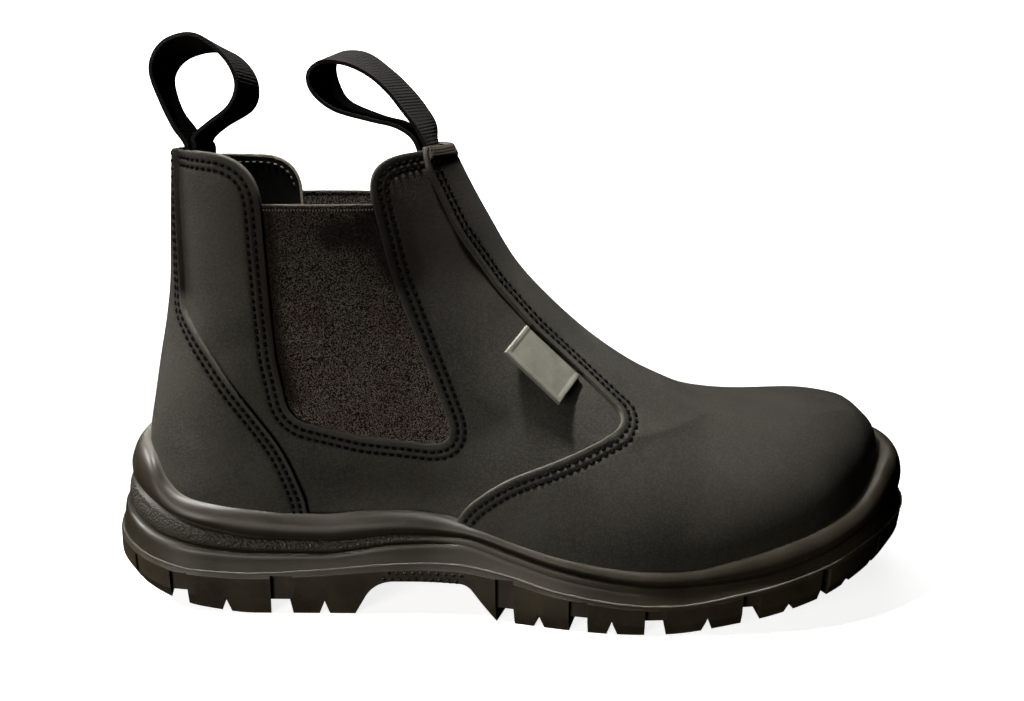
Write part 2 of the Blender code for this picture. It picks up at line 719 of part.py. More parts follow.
def overlay_room(name, outline, cutters):
    """Cutter for the room that an overlay needs in the midsole's rim, a gap larger all round."""
    room = loft(name + "_room", upper_rings(ROOM_LEVELS, 0.0), cutters, capped=False)
    thicken(room, OVERLAY + 2 * GAP, outwards=True)
    wider = shrunk(rounded(outline), -GAP)
    cut(room, prism(name + "_room_outline", wider, -REACH, REACH, cutters), "INTERSECT")
    return room


def build_sole(parts, cutters):
    """Outsole with its lugs and arch, midsole with its bead and recess, and the insole."""
    tread_rings = np.array([side_loop(row) for row in OUTSOLE_SIDE])
    tread_rings[-1, :, 2] -= GAP
    outsole = loft("outsole", tread_rings, parts)
    cut(outsole, prism("arch", rounded(ARCH), -REACH, REACH, cutters))
    cut(outsole, lug_gaps(cutters))
    cut(outsole, lug_notches(cutters))
    cut(outsole, tread_channel(cutters))
    cut(outsole, tread_crosses(cutters))
    paint(outsole, (0.045, 0.038, 0.030), 0.6)

    midsole = loft("midsole", [side_loop(row) for row in MIDSOLE_SIDE], parts)
    recess_rings = upper_rings(RECESS_LEVELS, GAP)
    recess_rings[0, :, 2] = column(HEIGHTS, "bed", recess_rings[0, :, 0])
    cut(midsole, loft("recess", recess_rings, cutters))
    for name, outline in OVERLAYS:
        cut(midsole, overlay_room(name, outline, cutters))
    paint(midsole, (0.050, 0.043, 0.035), 0.45)

    foot = upper_rings(RECESS_LEVELS[:2], -(WALL + GAP))[0]
    foot[:, 2] = column(HEIGHTS, "bed", foot[:, 0]) + GAP
    insole = loft("insole", [foot, foot + (0.0, 0.0, INSOLE)], parts)
    paint(insole, (0.10, 0.10, 0.10), 0.9)


def build_upper(parts, cutters):
    """Hollow upper with its elastic openings, the overlays on it and the elastics in it."""
    upper = loft("upper", upper_rings(UPPER_LEVELS, 0.0), parts, capped=False)
    thicken(upper, WALL, outwards=False)
    paint(upper, (0.040, 0.040, 0.036), 0.7)

    for name, outline in OVERLAYS:
        overlay = loft(name, upper_rings(UPPER_LEVELS, GAP)[1:], parts, capped=False)
        thicken(overlay, OVERLAY, outwards=True)
        cut(overlay, prism(name + "_outline", rounded(outline), -REACH, REACH, cutters), "INTERSECT")
        paint(overlay, (0.045, 0.044, 0.040), 0.7)

    sides = (
        ("gusset_lateral", HORNS_LATERAL, GUSSET_TOP_LATERAL, -REACH, 0),
        ("gusset_medial", HORNS_MEDIAL, GUSSET_TOP_MEDIAL, 0, REACH),
    )
    for name, horns, top, low_y, high_y in sides:
        opening = rounded(GUSSET + horns)
        cut(upper, prism(name + "_opening", opening, low_y, high_y, cutters))
        elastic = loft(name, upper_rings(UPPER_LEVELS, -ELASTIC_INSET), parts, capped=False)
        thicken(elastic, ELASTIC, outwards=False)
        panel = below(shrunk(opening, GAP), top)
        cut(elastic, prism(name + "_outline", panel, low_y, high_y, cutters), "INTERSECT")
        paint(elastic, (0.050, 0.042, 0.036), 0.95)


def strap_lines(rows):
    """Centre line of a pull loop, its webbing's width direction and its cup, smoothed through the rows."""
    table = np.array(rows, float)
    padded = np.concatenate([2 * table[:1] - table[1:2], table, 2 * table[-1:] - table[-2:-1]])
    fine = []
    for k in range(len(table) - 1):
        before, start, stop, after = padded[k : k + 4]
        for t in np.arange(STRAP_STEPS) / STRAP_STEPS:
            bend = (stop - before) * t + (2 * before - 5 * start + 4 * stop - after) * t**2
            fine.append(start + (bend + (3 * start - 3 * stop + after - before) * t**3) / 2)
    x, z, turn, tip, cup = np.array(fine + [table[-1]]).T
    turn, tip = np.radians(turn), np.radians(tip)
    centre = np.stack([x, np.zeros_like(x), z], axis=-1)
    width = np.stack([np.sin(turn) * np.cos(tip), np.cos(turn) * np.cos(tip), np.sin(tip)], axis=-1)
    return centre, width, cup


def build_straps(parts):
    """The two webbing pull loops, each one band stitched in at both ends."""
    for name, rows in (("pull_loop_rear", REAR_STRAP), ("pull_loop_front", FRONT_STRAP)):
        centre, width, cup = strap_lines(rows)
        bend = np.stack([cup, 0 * cup, 0 * cup], axis=-1)
        half = width * WEBBING_WIDTH / 2
        count = len(centre)
        faces = []
        for first in (0, count):
            second = first + count
            faces += [[first + k, first + k + 1, second + k + 1, second + k] for k in range(count - 1)]
        lines = np.concatenate([centre - half + bend, centre, centre + half + bend])
        strap = new_object(name, lines, faces, parts)
        thicken(strap, WEBBING, outwards=True)
        strap.modifiers["wall"].offset = 0.0
        paint(strap, (0.035, 0.030, 0.027), 0.9)


def build_tag(parts):
    """Plain moulded tag that stands out of the front seam on the outer side."""
    along = np.array(TAG_ALONG) / np.linalg.norm(TAG_ALONG)
    across = np.array(TAG_ACROSS) - along * (along @ np.array(TAG_ACROSS))
    across /= np.linalg.norm(across)
    up = np.cross(across, along)
    rings = []
    for reach in (0.0, TAG_WIDTH):
        middle = np.array(TAG_ROOT) + across * reach
        signs = ((-1, -1), (1, -1), (1, 1), (-1, 1))
        rings.append([middle + along * a * TAG_LENGTH / 2 + up * u * TAG_THICKNESS / 2 for a, u in signs])
    tag = loft("side_tag", rings, parts)
    edge = tag.modifiers.new("edge", "BEVEL")
    edge.width = 0.35 * MM
    edge.segments = 1
    paint(tag, (0.16, 0.16, 0.14), 0.55)


def main():
    """Build the boot."""
    clear_scene()
    parts, cutters = new_collection("safety_boot"), new_collection("cutters")
    build_sole(parts, cutters)
    build_upper(parts, cutters)
    build_straps(parts)
    build_tag(parts)


main()
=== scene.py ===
"""Looks of the pull-on safety boot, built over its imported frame.

Shapes are worked out in millimetres in the boot's own frame: x runs from the back of the heel to the toe,
y to the inner side of the foot and z up from the floor. They are turned into the frame's metres as they
are placed.
"""

import logging
import math
from collections.abc import Iterator
from dataclasses import dataclass, field
from enum import Enum, IntEnum
from typing import NamedTuple

import bmesh
import bpy
import mathutils
import numpy as np
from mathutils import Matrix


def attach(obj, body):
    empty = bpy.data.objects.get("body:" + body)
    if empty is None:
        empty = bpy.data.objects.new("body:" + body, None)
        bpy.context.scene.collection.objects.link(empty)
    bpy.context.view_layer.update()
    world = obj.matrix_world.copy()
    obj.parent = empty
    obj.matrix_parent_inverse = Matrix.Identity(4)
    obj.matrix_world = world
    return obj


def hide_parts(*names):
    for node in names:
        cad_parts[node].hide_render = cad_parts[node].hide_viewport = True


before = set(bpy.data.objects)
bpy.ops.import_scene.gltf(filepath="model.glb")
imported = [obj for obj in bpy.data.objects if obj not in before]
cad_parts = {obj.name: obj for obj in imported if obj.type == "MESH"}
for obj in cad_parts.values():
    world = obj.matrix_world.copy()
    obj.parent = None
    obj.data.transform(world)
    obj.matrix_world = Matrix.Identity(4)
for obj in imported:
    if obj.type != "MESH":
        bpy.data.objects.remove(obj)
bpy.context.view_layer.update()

LOG = logging.getLogger("safety_boot")
MM = 0.001

Array = np.ndarray
Colour = tuple[float, float, float]
Place = tuple[float, float, float]
Socket = bpy.types.NodeSocket
Inputs = dict[str | int, object]

# Driving dimensions
SOLE_LENGTH = 305.0
UPPER_TOE_X = 294.0
WALL = 2.2
OVERLAY = 1.3
GAP = 0.3
ELASTIC = 1.3
ELASTIC_INSET = 0.5
INSOLE = 3.0
WEBBING_WIDTH = 25.0
WEBBING = 1.6
TOE_SWING, SWING_FROM = 10.0, 140.0
ARCH_POWER = 2.2
BACK_POWER = 2.3
BULGE_HEIGHT = 9.0
BULGE_TUCK = 0.06
COLLAR_TILT, COLLAR_TILT_FROM = 0.04, 13.0

# Tolerances
TINY = 1e-9
SNAP = 1e-3
WELD = 1e-7
MIN_SLOPE = 0.15
SHARP_CORNER = 0.05
CORNER_SHARE = 0.48

# Meshing
CAD_STATIONS = 22
SOFT_LINE_STEPS = 12
SHADE_SHARP = 38.0
BEVEL_SEGMENTS, BEVEL_ANGLE = 2, 34.0
CARRIED = ("edge", "seam", "soil", "stipple", "lift")


class Side(IntEnum):
    """Side of the boot, as the sign of y there."""

    OUTER = -1
    INNER = 1

    @property
    def width_name(self) -> str:
        """Column of the plan tables with this side's half-width."""
        return "lateral" if self is Side.OUTER else "medial"


class Slot(Enum):
    """Material slot of the record."""

    SOLE_RUBBER = "sole_rubber"
    LEATHER = "leather"
    ELASTIC = "elastic"
    WEBBING = "webbing"
    LINING = "lining"
    TAG = "tag"


class PlanRow(NamedTuple):
    """Half-widths of a plan outline at one place along the boot."""

    x: float
    lateral: float
    medial: float


class HeightRow(NamedTuple):
    """Heights of the sole's lines at one place along the boot."""

    x: float
    tread: float
    parting: float
    ledge: float
    groove: float
    bead: float
    bed: float


class BackRow(NamedTuple):
    """One point of the upper's back line."""

    z: float
    x: float


class Ring(NamedTuple):
    """One tilted section of the upper, from its point on the back line to its point on the front ridge."""

    back_z: float
    front_x: float
    front_z: float
    sag: float
    shaft: float
    back_round: float


class SideRow(NamedTuple):
    """One line round the sole: a share of the way between two named heights, its ends and its outset."""

    low: str
    high: str
    share: float
    back: float
    front: float
    outset: float
    heel_step: float


class GapRow(NamedTuple):
    """One gap between two lugs: its place along the edge, its width there and how far in it runs."""

    x: float
    width: float
    depth: float


class Corner(NamedTuple):
    """One corner of a panel's outline seen from the side, with the radius that rounds it."""

    x: float
    z: float
    radius: float


class StrapRow(NamedTuple):
    """One point of a pull loop's centre line.

    turn and tip angle the webbing's width, in degrees, and cup is how far its edges bend along x.
    """

    x: float
    z: float
    turn: float
    tip: float
    cup: float


# Tables of the shape


def table(kind: type, *rows: tuple) -> tuple:
    """Rows of one kind, from their values in the order of its columns."""
    return tuple(kind(*row) for row in rows)


SOLE_PLAN = table(
    PlanRow,
    (0, 39.0, 38.0), (45, 39.5, 38.5), (115, 40.5, 34.5), (205, 58.0, 50.0), (265, 58.0, 47.5),
    (305, 52.0, 44.0),
)
UPPER_PLAN = table(
    PlanRow,
    (0, 33.5, 32.5), (50, 33.5, 32.5), (115, 35.0, 30.0), (205, 53.0, 45.5), (262, 53.5, 43.5),
    (294, 48.0, 40.0),
)
HEEL_CAP, HEEL_POWER = 40.0, 2.3
TOE_CAP, TOE_POWER = 75.0, 2.1
UPPER_TOE_CAP, UPPER_TOE_POWER = 70.0, 2.15

HEIGHTS = table(
    HeightRow,
    (0, 13.0, 26.0, 35.0, 46.0, 60.0, 28.0),
    (20, 6.8, 20.5, 28.0, 37.5, 50.0, 28.0),
    (36, 2.6, 17.6, 25.2, 32.8, 43.0, 27.8),
    (56, 0.0, 16.4, 23.4, 29.0, 37.6, 27.5),
    (80, 0.0, 17.8, 23.2, 28.6, 36.4, 27.0),
    (110, 0.0, 20.5, 27.3, 31.1, 39.0, 26.0),
    (130, 0.0, 21.1, 28.0, 30.9, 38.5, 24.5),
    (148, 0.0, 19.0, 23.6, 26.5, 36.0, 22.5),
    (165, 0.0, 15.0, 19.2, 22.2, 30.0, 18.6),
    (190, 0.0, 12.1, 15.8, 18.8, 24.5, 15.4),
    (207, 0.0, 11.4, 14.8, 17.6, 24.3, 15.0),
    (235, 3.4, 15.5, 17.6, 19.6, 27.4, 18.6),
    (260, 8.0, 21.0, 22.8, 24.6, 33.0, 24.2),
    (280, 13.2, 26.5, 28.6, 30.7, 44.0, 29.4),
    (305, 18.4, 30.0, 33.5, 37.0, 51.5, 33.0),
)
CREST = (
    (16.0, 60.0), (23.0, 55.5), (28.3, 48.0), (35.0, 43.4), (43.0, 41.6), (52.0, 40.2), (62.0, 39.2),
    (74.0, 37.6), (86.0, 37.2), (99.0, 38.4), (113.0, 38.8), (127.0, 37.5), (142.0, 34.4),
    (156.0, 30.6), (171.0, 27.2), (186.0, 25.0), (200.0, 23.9), (213.0, 24.0), (226.0, 26.3),
    (239.0, 28.8), (250.0, 31.4), (261.0, 34.0), (270.0, 36.6), (278.0, 39.4), (284.5, 43.6),
    (290.0, 48.0), (297.0, 51.5),
)
BACK_LINE = table(
    BackRow,
    (28, 17.5), (45, 17.0), (60, 18.0), (75, 21.0), (90, 24.4), (105, 28.0), (118, 30.3), (140, 32.3),
    (164, 34.7),
)

RINGS = table(
    Ring,
    (28.3, 294.0, 32.8, 1.00, 0.00, 36),
    (34.0, 294.0, 38.8, 0.95, 0.00, 36),
    (39.0, 293.8, 45.0, 0.85, 0.00, 36),
    (44.0, 290.6, 58.0, 0.70, 0.00, 36),
    (49.0, 281.0, 65.4, 0.50, 0.00, 37),
    (54.0, 265.0, 67.3, 0.32, 0.00, 38),
    (60.0, 246.0, 66.8, 0.18, 0.00, 38),
    (67.0, 226.0, 68.2, 0.08, 0.03, 39),
    (75.0, 204.5, 76.8, 0.00, 0.12, 40),
    (84.0, 186.2, 88.7, 0.00, 0.30, 41),
    (95.0, 168.6, 104.0, 0.00, 0.55, 43),
    (109.0, 153.0, 121.2, 0.00, 0.80, 45),
    (126.0, 142.8, 138.4, 0.00, 0.95, 47),
    (145.0, 135.6, 151.8, 0.00, 1.00, 48),
    (163.5, 129.6, 164.4, 0.00, 1.00, 48),
)
RIDGE_FROM, SHAFT_FROM = 2, 6
SHAFT_HALF_WIDTH = {Side.OUTER: 36.5, Side.INNER: 36.0}
SHAFT_FRONT_ROUND = 54.0

MIDSOLE_SIDE = table(
    SideRow,
    ("parting", "ledge", 0.00, 3.6, 305.5, 0.0, 0.0),
    ("parting", "ledge", 0.50, 4.4, 305.1, -0.5, 0.0),
    ("parting", "ledge", 0.86, 5.0, 304.8, -0.8, 0.0),
    ("parting", "ledge", 1.00, 5.9, 304.6, -1.0, -0.5),
    ("ledge", "groove", 0.05, 7.9, 304.5, -1.0, -2.2),
    ("ledge", "groove", 0.14, 6.9, 304.4, -1.1, -1.1),
    ("ledge", "groove", 0.34, 6.8, 304.2, -1.2, -0.4),
    ("ledge", "groove", 0.62, 7.3, 304.0, -1.3, -0.5),
    ("ledge", "groove", 0.86, 8.2, 303.9, -1.5, -1.0),
    ("groove", "bead", 0.00, 9.8, 304.0, -3.0, -0.4),
    ("groove", "bead", 0.10, 9.0, 304.5, -1.9, 0.0),
    ("groove", "bead", 0.28, 8.8, 304.6, -1.2, 0.0),
    ("groove", "bead", 0.48, 9.6, 304.2, -1.3, 0.0),
    ("groove", "bead", 0.68, 10.8, 303.2, -2.0, 0.0),
    ("groove", "bead", 0.85, 12.4, 301.7, -3.2, 0.0),
    ("groove", "bead", 0.96, 14.2, 299.6, -4.5, 0.0),
    ("groove", "bead", 1.00, 16.2, 296.6, -5.4, 0.0),
)
OUTSOLE_SIDE = table(
    SideRow,
    ("tread", "parting", 0.00, 4.6, 303.1, -1.0, 0.0),
    ("tread", "parting", 0.35, 2.2, 305.3, 0.4, 0.0),
    ("tread", "parting", 0.88, 2.5, 305.9, 0.8, 0.0),
    ("tread", "parting", 1.00, 3.4, 305.5, 0.2, 0.0),
)
HEEL_STEP_FROM, HEEL_STEP_TO = 105.0, 132.0

CLEAR, REACH = 8.0, 90.0
LUG = 5.5
LUG_FACE = 1.6
LUG_LIP = 1.4
HEEL_LEAN, FOREFOOT_LEAN = -0.35, 0.08
GAPS = table(
    GapRow,
    (5.5, 1.6, 11), (15.5, 1.6, 13), (32.0, 6.6, 22), (69.4, 8.0, 24), (149.4, 6.6, 24),
    (174.6, 6.6, 24), (203.4, 7.6, 24), (236.6, 6.8, 22), (264.0, 4.0, 20), (286.0, 3.0, 14),
)
NOTCH_X = (48.8, 84.6, 161.2, 187.5, 220.0, 250.5, 274.5)
NOTCH_WIDTH, NOTCH_HEIGHT, NOTCH_DEPTH = 4.4, 5.6, 12.0
CHANNEL_FROM, CHANNEL_TO, CHANNEL_HEIGHT = 21.0, 26.0, 4.8
CROSS_X = (50.0, 88.0, 164.0, 190.0, 221.0, 250.0)
CROSS_WIDTH = 5.0
ARCH = table(
    Corner,
    (95.6, -4.0, 0), (95.6, 0.0, 0), (103.0, 13.7, 14), (136.5, 14.0, 6), (147.0, 0.0, 0),
    (147.0, -4.0, 0),
)

GUSSET = table(
    Corner,
    (71.3, 95.0, 60), (74.5, 72.5, 11), (100.0, 66.2, 30), (133.6, 62.8, 7.5), (112.0, 124.0, 80),
)
HORNS_LATERAL = table(
    Corner,
    (103.4, 162.5, 17), (134.0, 165.4, 0), (134.0, 178.0, 0), (33.0, 178.0, 0), (33.0, 165.4, 0),
    (69.6, 163.4, 21),
)
HORNS_MEDIAL = table(
    Corner,
    (103.4, 156.7, 17), (123.0, 159.8, 8), (131.0, 165.2, 0), (131.0, 178.0, 0), (33.0, 178.0, 0),
    (34.5, 164.8, 0), (40.0, 159.8, 6), (69.6, 157.6, 21),
)
GUSSET_TOP_LATERAL, GUSSET_TOP_MEDIAL = 148.0, 144.2
VAMP = table(
    Corner,
    (122.2, 176.0, 0), (122.6, 159.5, 25), (133.0, 137.0, 60), (146.5, 117.5, 60), (160.0, 102.2, 60),
    (193.6, 71.4, 4.5), (150.0, 53.0, 60), (131.0, 37.4, 40), (129.5, -30.0, 0), (310.0, -30.0, 0),
    (310.0, 176.0, 0),
)
COUNTER = table(
    Corner,
    (38.2, 176.0, 0), (38.8, 111.0, 12), (56.5, 83.5, 80), (72.8, 59.8, 60), (79.0, 40.0, 30),
    (79.4, -30.0, 0), (5.0, -30.0, 0), (5.0, 176.0, 0),
)

REAR_STRAP = table(
    StrapRow,
    (37.0, 146.0, 0, 0, 2.0), (38.6, 162.5, 0, -3, 1.9), (35.5, 170.5, 0, -5, 0.6),
    (32.4, 177.5, -2, -8, 0.0), (29.9, 187.0, 0, -10, 0.0), (31.5, 193.0, 0, -13, 0.0),
    (36.5, 197.5, 0, -14, 0.0), (44.7, 199.4, 1, -13, 0.0), (52.0, 196.8, 3, -8, 0.0),
    (57.6, 190.9, 4, -6, 0.0), (59.4, 184.0, 4, -6, 0.0), (56.5, 177.3, 5, -5, 0.0),
    (48.0, 171.6, 0, -5, 0.0), (42.0, 167.0, -1, -6, 0.7), (41.0, 162.5, 0, -3, 1.9),
    (39.4, 146.0, 0, 0, 2.0),
)
FRONT_STRAP = table(
    StrapRow,
    (133.9, 146.0, 0, 0, -2.8), (127.4, 160.5, 0, 0, -3.0), (122.8, 170.0, 11, 0, -0.5),
    (118.0, 176.9, 15, -1, 0.0), (112.9, 183.3, 14, 0, 0.0), (106.7, 189.0, 13, 2, 0.0),
    (98.5, 193.9, 10, 8, 0.0), (89.9, 194.5, 8, 7, 0.0), (86.0, 190.5, 13, 5, 0.0),
    (87.0, 184.1, 13, 4, 0.0), (92.6, 178.0, 6, 3, 0.0), (104.6, 173.7, 6, -1, 0.0),
    (113.4, 171.5, 4, -1, -0.3), (119.8, 167.4, 2, -1, -1.2), (124.2, 160.5, 0, 0, -3.0),
    (130.6, 146.0, 0, 0, -2.8),
)

TAG_LENGTH, TAG_WIDTH, TAG_THICKNESS = 26.0, 15.4, 1.8
TAG_ROOT = (166.6, -27.1, 95.5)
TAG_ALONG = (19.7, -2.6, -18.6)
TAG_ACROSS = (-8.2, -12.7, -6.6)


# Shape functions


def smooth(xs: Array, ys: Array, at: Array) -> Array:
    """Cubic through points that never overshoots them.

    Args:
        xs: Places of the points, rising.
        ys: Values at those places.
        at: Places to read.

    Returns:
        The values at `at`.
    """
    xs, ys = np.asarray(xs, float), np.asarray(ys, float)
    at = np.clip(np.asarray(at, float), xs[0], xs[-1])
    step = np.diff(xs)
    slope = np.diff(ys) / step
    before, after = slope[:-1], slope[1:]
    weight_before, weight_after = step[:-1] + 2 * step[1:], 2 * step[:-1] + step[1:]
    same_way = before * after > 0
    safe_before = np.where(same_way, before, 1.0)
    safe_after = np.where(same_way, after, 1.0)
    mean = (weight_before + weight_after) / (weight_before / safe_after + weight_after / safe_before)
    tangent = np.concatenate([[slope[0]], np.where(same_way, mean, 0.0), [slope[-1]]])
    k = np.clip(np.searchsorted(xs, at, side="right") - 1, 0, len(step) - 1)
    t = (at - xs[k]) / step[k]
    line = ys[k] + (ys[k + 1] - ys[k]) * t * t * (3 - 2 * t)
    return line + step[k] * t * (1 - t) * (tangent[k] * (1 - t) - tangent[k + 1] * t)


def column(rows: tuple, name: str, at: Array) -> Array:
    """One named column of a table, read at places along x."""
    return smooth([row.x for row in rows], [getattr(row, name) for row in rows], at)


def ease(t: Array) -> Array:
    """Step from 0 to 1 with flat ends."""
    t = np.clip(t, 0.0, 1.0)
    return t * t * (3 - 2 * t)


def hump(t: Array) -> Array:
    """Soft hump: 1 at 0, falling to nothing by about 2."""
    return np.exp(-np.asarray(t, float) ** 2)


def ripple(run: Array, pitch: float) -> Array:
    """Even ribs: 1 on each rib and 0 between two."""
    return 0.5 + 0.5 * np.cos(2 * math.pi * run / pitch)


def unit(vectors: Array) -> Array:
    """Vectors brought to length one."""
    return vectors / np.maximum(np.linalg.norm(vectors, axis=-1, keepdims=True), TINY)


def quarter_round(from_edge: Array, radius: float) -> Array:
    """Height of a rounded edge as a share of its radius: 0 at the edge, 1 from `radius` inside it."""
    return np.sqrt(1 - np.clip(1 - from_edge / radius, 0.0, 1.0) ** 2)


def cap(depth: Array, length: float, power: float) -> Array:
    """Round off the end of an outline.

    Args:
        depth: Distance in from the end.
        length: Distance over which it rounds.
        power: Fullness of the rounding.

    Returns:
        0 at the end itself, 1 from `length` inside it.
    """
    closeness = 1 - np.clip(np.asarray(depth, float) / length, 0.0, 1.0)
    return (1 - closeness**power) ** (1 / power)


def swing(x: Array) -> Array:
    """How far the boot's centre line bends towards the inner side."""
    return TOE_SWING * ease((np.asarray(x, float) - SWING_FROM) / (SOLE_LENGTH - SWING_FROM))


def ring_column(name: str, level: Array) -> Array:
    """One named column of the upper's rings, read at levels counted up from the feather line."""
    return smooth(range(len(RINGS)), [getattr(ring, name) for ring in RINGS], level)


def back_x(z: Array) -> Array:
    """Back line of the upper at the heights z."""
    return smooth([row.z for row in BACK_LINE], [row.x for row in BACK_LINE], z)


def ridge_z(x: Array) -> Array:
    """Height of the upper's front ridge over the places x."""
    return smooth(*zip(*sorted((ring.front_x, ring.front_z) for ring in RINGS[RIDGE_FROM:])), x)


def ridge_x(z: Array) -> Array:
    """Place of the upper's front ridge at the heights z of the shaft."""
    return smooth(*zip(*((ring.front_z, ring.front_x) for ring in RINGS[SHAFT_FROM:])), z)


def upper_point(level: Array, along: Array, side: Side) -> Array:
    """Points of the upper's outer face.

    Args:
        level: Rings counted up from the feather line.
        along: 0 to 1 from the back line to the front ridge.
        side: Side of the boot.

    Returns:
        Points in millimetres.
    """
    level, along = np.broadcast_arrays(np.asarray(level, float), np.asarray(along, float))
    foot = RINGS[0]
    heel_z = ring_column("back_z", level)
    heel_x = back_x(heel_z)
    x = heel_x + (ring_column("front_x", level) - heel_x) * along
    chord = heel_z + (ring_column("front_z", level) - heel_z) * along
    foot_chord = foot.back_z + (foot.front_z - foot.back_z) * along
    bed = column(HEIGHTS, "bed", x)
    z = chord + ring_column("sag", level) * (bed + GAP - foot_chord)
    shaft = ring_column("shaft", level)
    full = bed + BULGE_HEIGHT
    tuck = 1 - BULGE_TUCK * np.clip((full - z) / BULGE_HEIGHT, 0.0, 1.0) ** 2
    toe = cap(UPPER_TOE_X - x, UPPER_TOE_CAP, UPPER_TOE_POWER)
    foot_width = column(UPPER_PLAN, side.width_name, x) * tuck * toe
    width = foot_width * (1 - shaft) + SHAFT_HALF_WIDTH[side] * shaft
    over_foot = np.clip((z - full) / (ridge_z(x) - full), 0.0, 1.0)
    over_shaft = np.clip(1 - (ridge_x(z) - x) / SHAFT_FRONT_ROUND, 0.0, 1.0)
    over = np.where(along >= 1.0, 1.0, over_foot * (1 - shaft) + over_shaft * shaft)
    closed = (level <= RIDGE_FROM) & (along >= 1.0)
    front = np.where(closed, 0.0, (1 - over**ARCH_POWER) ** (1 / ARCH_POWER))
    rear = cap(x - heel_x, ring_column("back_round", level), BACK_POWER)
    across = side * width * front * rear
    z = z - COLLAR_TILT * across * ease(level - COLLAR_TILT_FROM)
    return np.stack([x, swing(x) + across, z], axis=-1)


def upper_ring(level: Array, along: Array) -> Array:
    """Closed lines round the upper.

    Args:
        level: Rings counted up from the feather line.
        along: Shares from the back line to the front ridge.

    Returns:
        Points along the outer side to the ridge and back along the inner side.
    """
    outer, inner = (upper_point(level, along, side) for side in Side)
    return np.concatenate([outer, inner[..., -2:0:-1, :]], axis=-2)


def end_spaced(stations: int) -> Array:
    """Shares from 0 to 1, closer together at both ends."""
    return (1 - np.cos(np.linspace(0, math.pi, stations + 1))) / 2


def side_loop(row: SideRow, stations: int, grow: float = 0.0) -> Array:
    """Closed line round the sole.

    Args:
        row: The line's heights, ends and outset.
        stations: Points along each side.
        grow: Further outset.

    Returns:
        Points along the outer side to the toe and back along the inner side.
    """
    share = end_spaced(stations)
    plan_x = SOLE_LENGTH * share
    x = row.back - grow + (row.front - row.back + 2 * grow) * share
    end = cap(plan_x, HEEL_CAP, HEEL_POWER) * cap(SOLE_LENGTH - plan_x, TOE_CAP, TOE_POWER)
    step = row.heel_step * (1 - ease((plan_x - HEEL_STEP_FROM) / (HEEL_STEP_TO - HEEL_STEP_FROM)))
    out = row.outset + grow + step
    low = column(HEIGHTS, row.low, plan_x)
    high = smooth(*zip(*CREST), x) if row.high == "bead" else column(HEIGHTS, row.high, plan_x)
    z = low + (high - low) * row.share
    outer, inner = (
        np.stack([x, swing(x) + side * (column(SOLE_PLAN, side.width_name, plan_x) + out) * end, z], axis=-1)
        for side in Side
    )
    return np.concatenate([outer, inner[-2:0:-1]])


def sole_middle() -> Array:
    """Middle of the sole's widest line, which the part's origin lies under."""
    x, y = np.concatenate([side_loop(row, CAD_STATIONS) for row in OUTSOLE_SIDE])[:, :2].T
    return np.array([(x.min() + x.max()) / 2, (y.min() + y.max()) / 2, 0.0])


ORIGIN = sole_middle()


def rounded(corners: tuple[Corner, ...], steps: int = 14) -> Array:
    """Closed side-view outline through corners, each rounded by its radius.

    Args:
        corners: The corners in order.
        steps: Pieces in each rounding.

    Returns:
        Points (x, z).
    """
    points = []
    for k, corner in enumerate(corners):
        here = np.array([corner.x, corner.z])
        before, after = corners[k - 1], corners[(k + 1) % len(corners)]
        to_before = np.array([before.x, before.z]) - here
        to_after = np.array([after.x, after.z]) - here
        reach_before, reach_after = np.linalg.norm(to_before), np.linalg.norm(to_after)
        to_before, to_after = to_before / reach_before, to_after / reach_after
        half = math.acos(np.clip(to_before @ to_after, -1, 1)) / 2
        reach = min(corner.radius / math.tan(half), CORNER_SHARE * reach_before, CORNER_SHARE * reach_after)
        if reach < SHARP_CORNER:
            points.append(here)
            continue
        start, stop = here + to_before * reach, here + to_after * reach
        for t in np.linspace(0, 1, steps + 1):
            points.append(start * (1 - t) ** 2 + here * 2 * t * (1 - t) + stop * t**2)
    return np.array(points)


def outline_distance(outline: Array, points: Array, normals: Array) -> Array:
    """Distance over a surface to a closed side-view outline.

    Args:
        outline: Points (x, z) of the outline.
        points: Points of the surface.
        normals: Its normals there.

    Returns:
        Millimetres, negative inside the outline.
    """
    place = points[:, (0, 2)]
    best = np.full(len(place), np.inf)
    pull = np.zeros_like(place)
    inside = np.zeros(len(place), bool)
    for start, stop in zip(outline, np.roll(outline, -1, axis=0)):
        way = stop - start
        share = np.clip((place - start) @ way / max(way @ way, TINY), 0.0, 1.0)
        away = place - start - share[:, None] * way
        reach = np.hypot(away[:, 0], away[:, 1])
        nearer = reach < best
        best[nearer], pull[nearer] = reach[nearer], away[nearer]
        if start[1] != stop[1]:
            spans = (start[1] > place[:, 1]) != (stop[1] > place[:, 1])
            inside ^= spans & (place[:, 0] < start[0] + (place[:, 1] - start[1]) * way[0] / way[1])
    lean = np.sum(unit(pull) * normals[:, (0, 2)], axis=1)
    steep = np.sqrt(np.maximum(1 - lean**2, MIN_SLOPE))
    return np.where(inside, -best, best) / steep


# Meshes


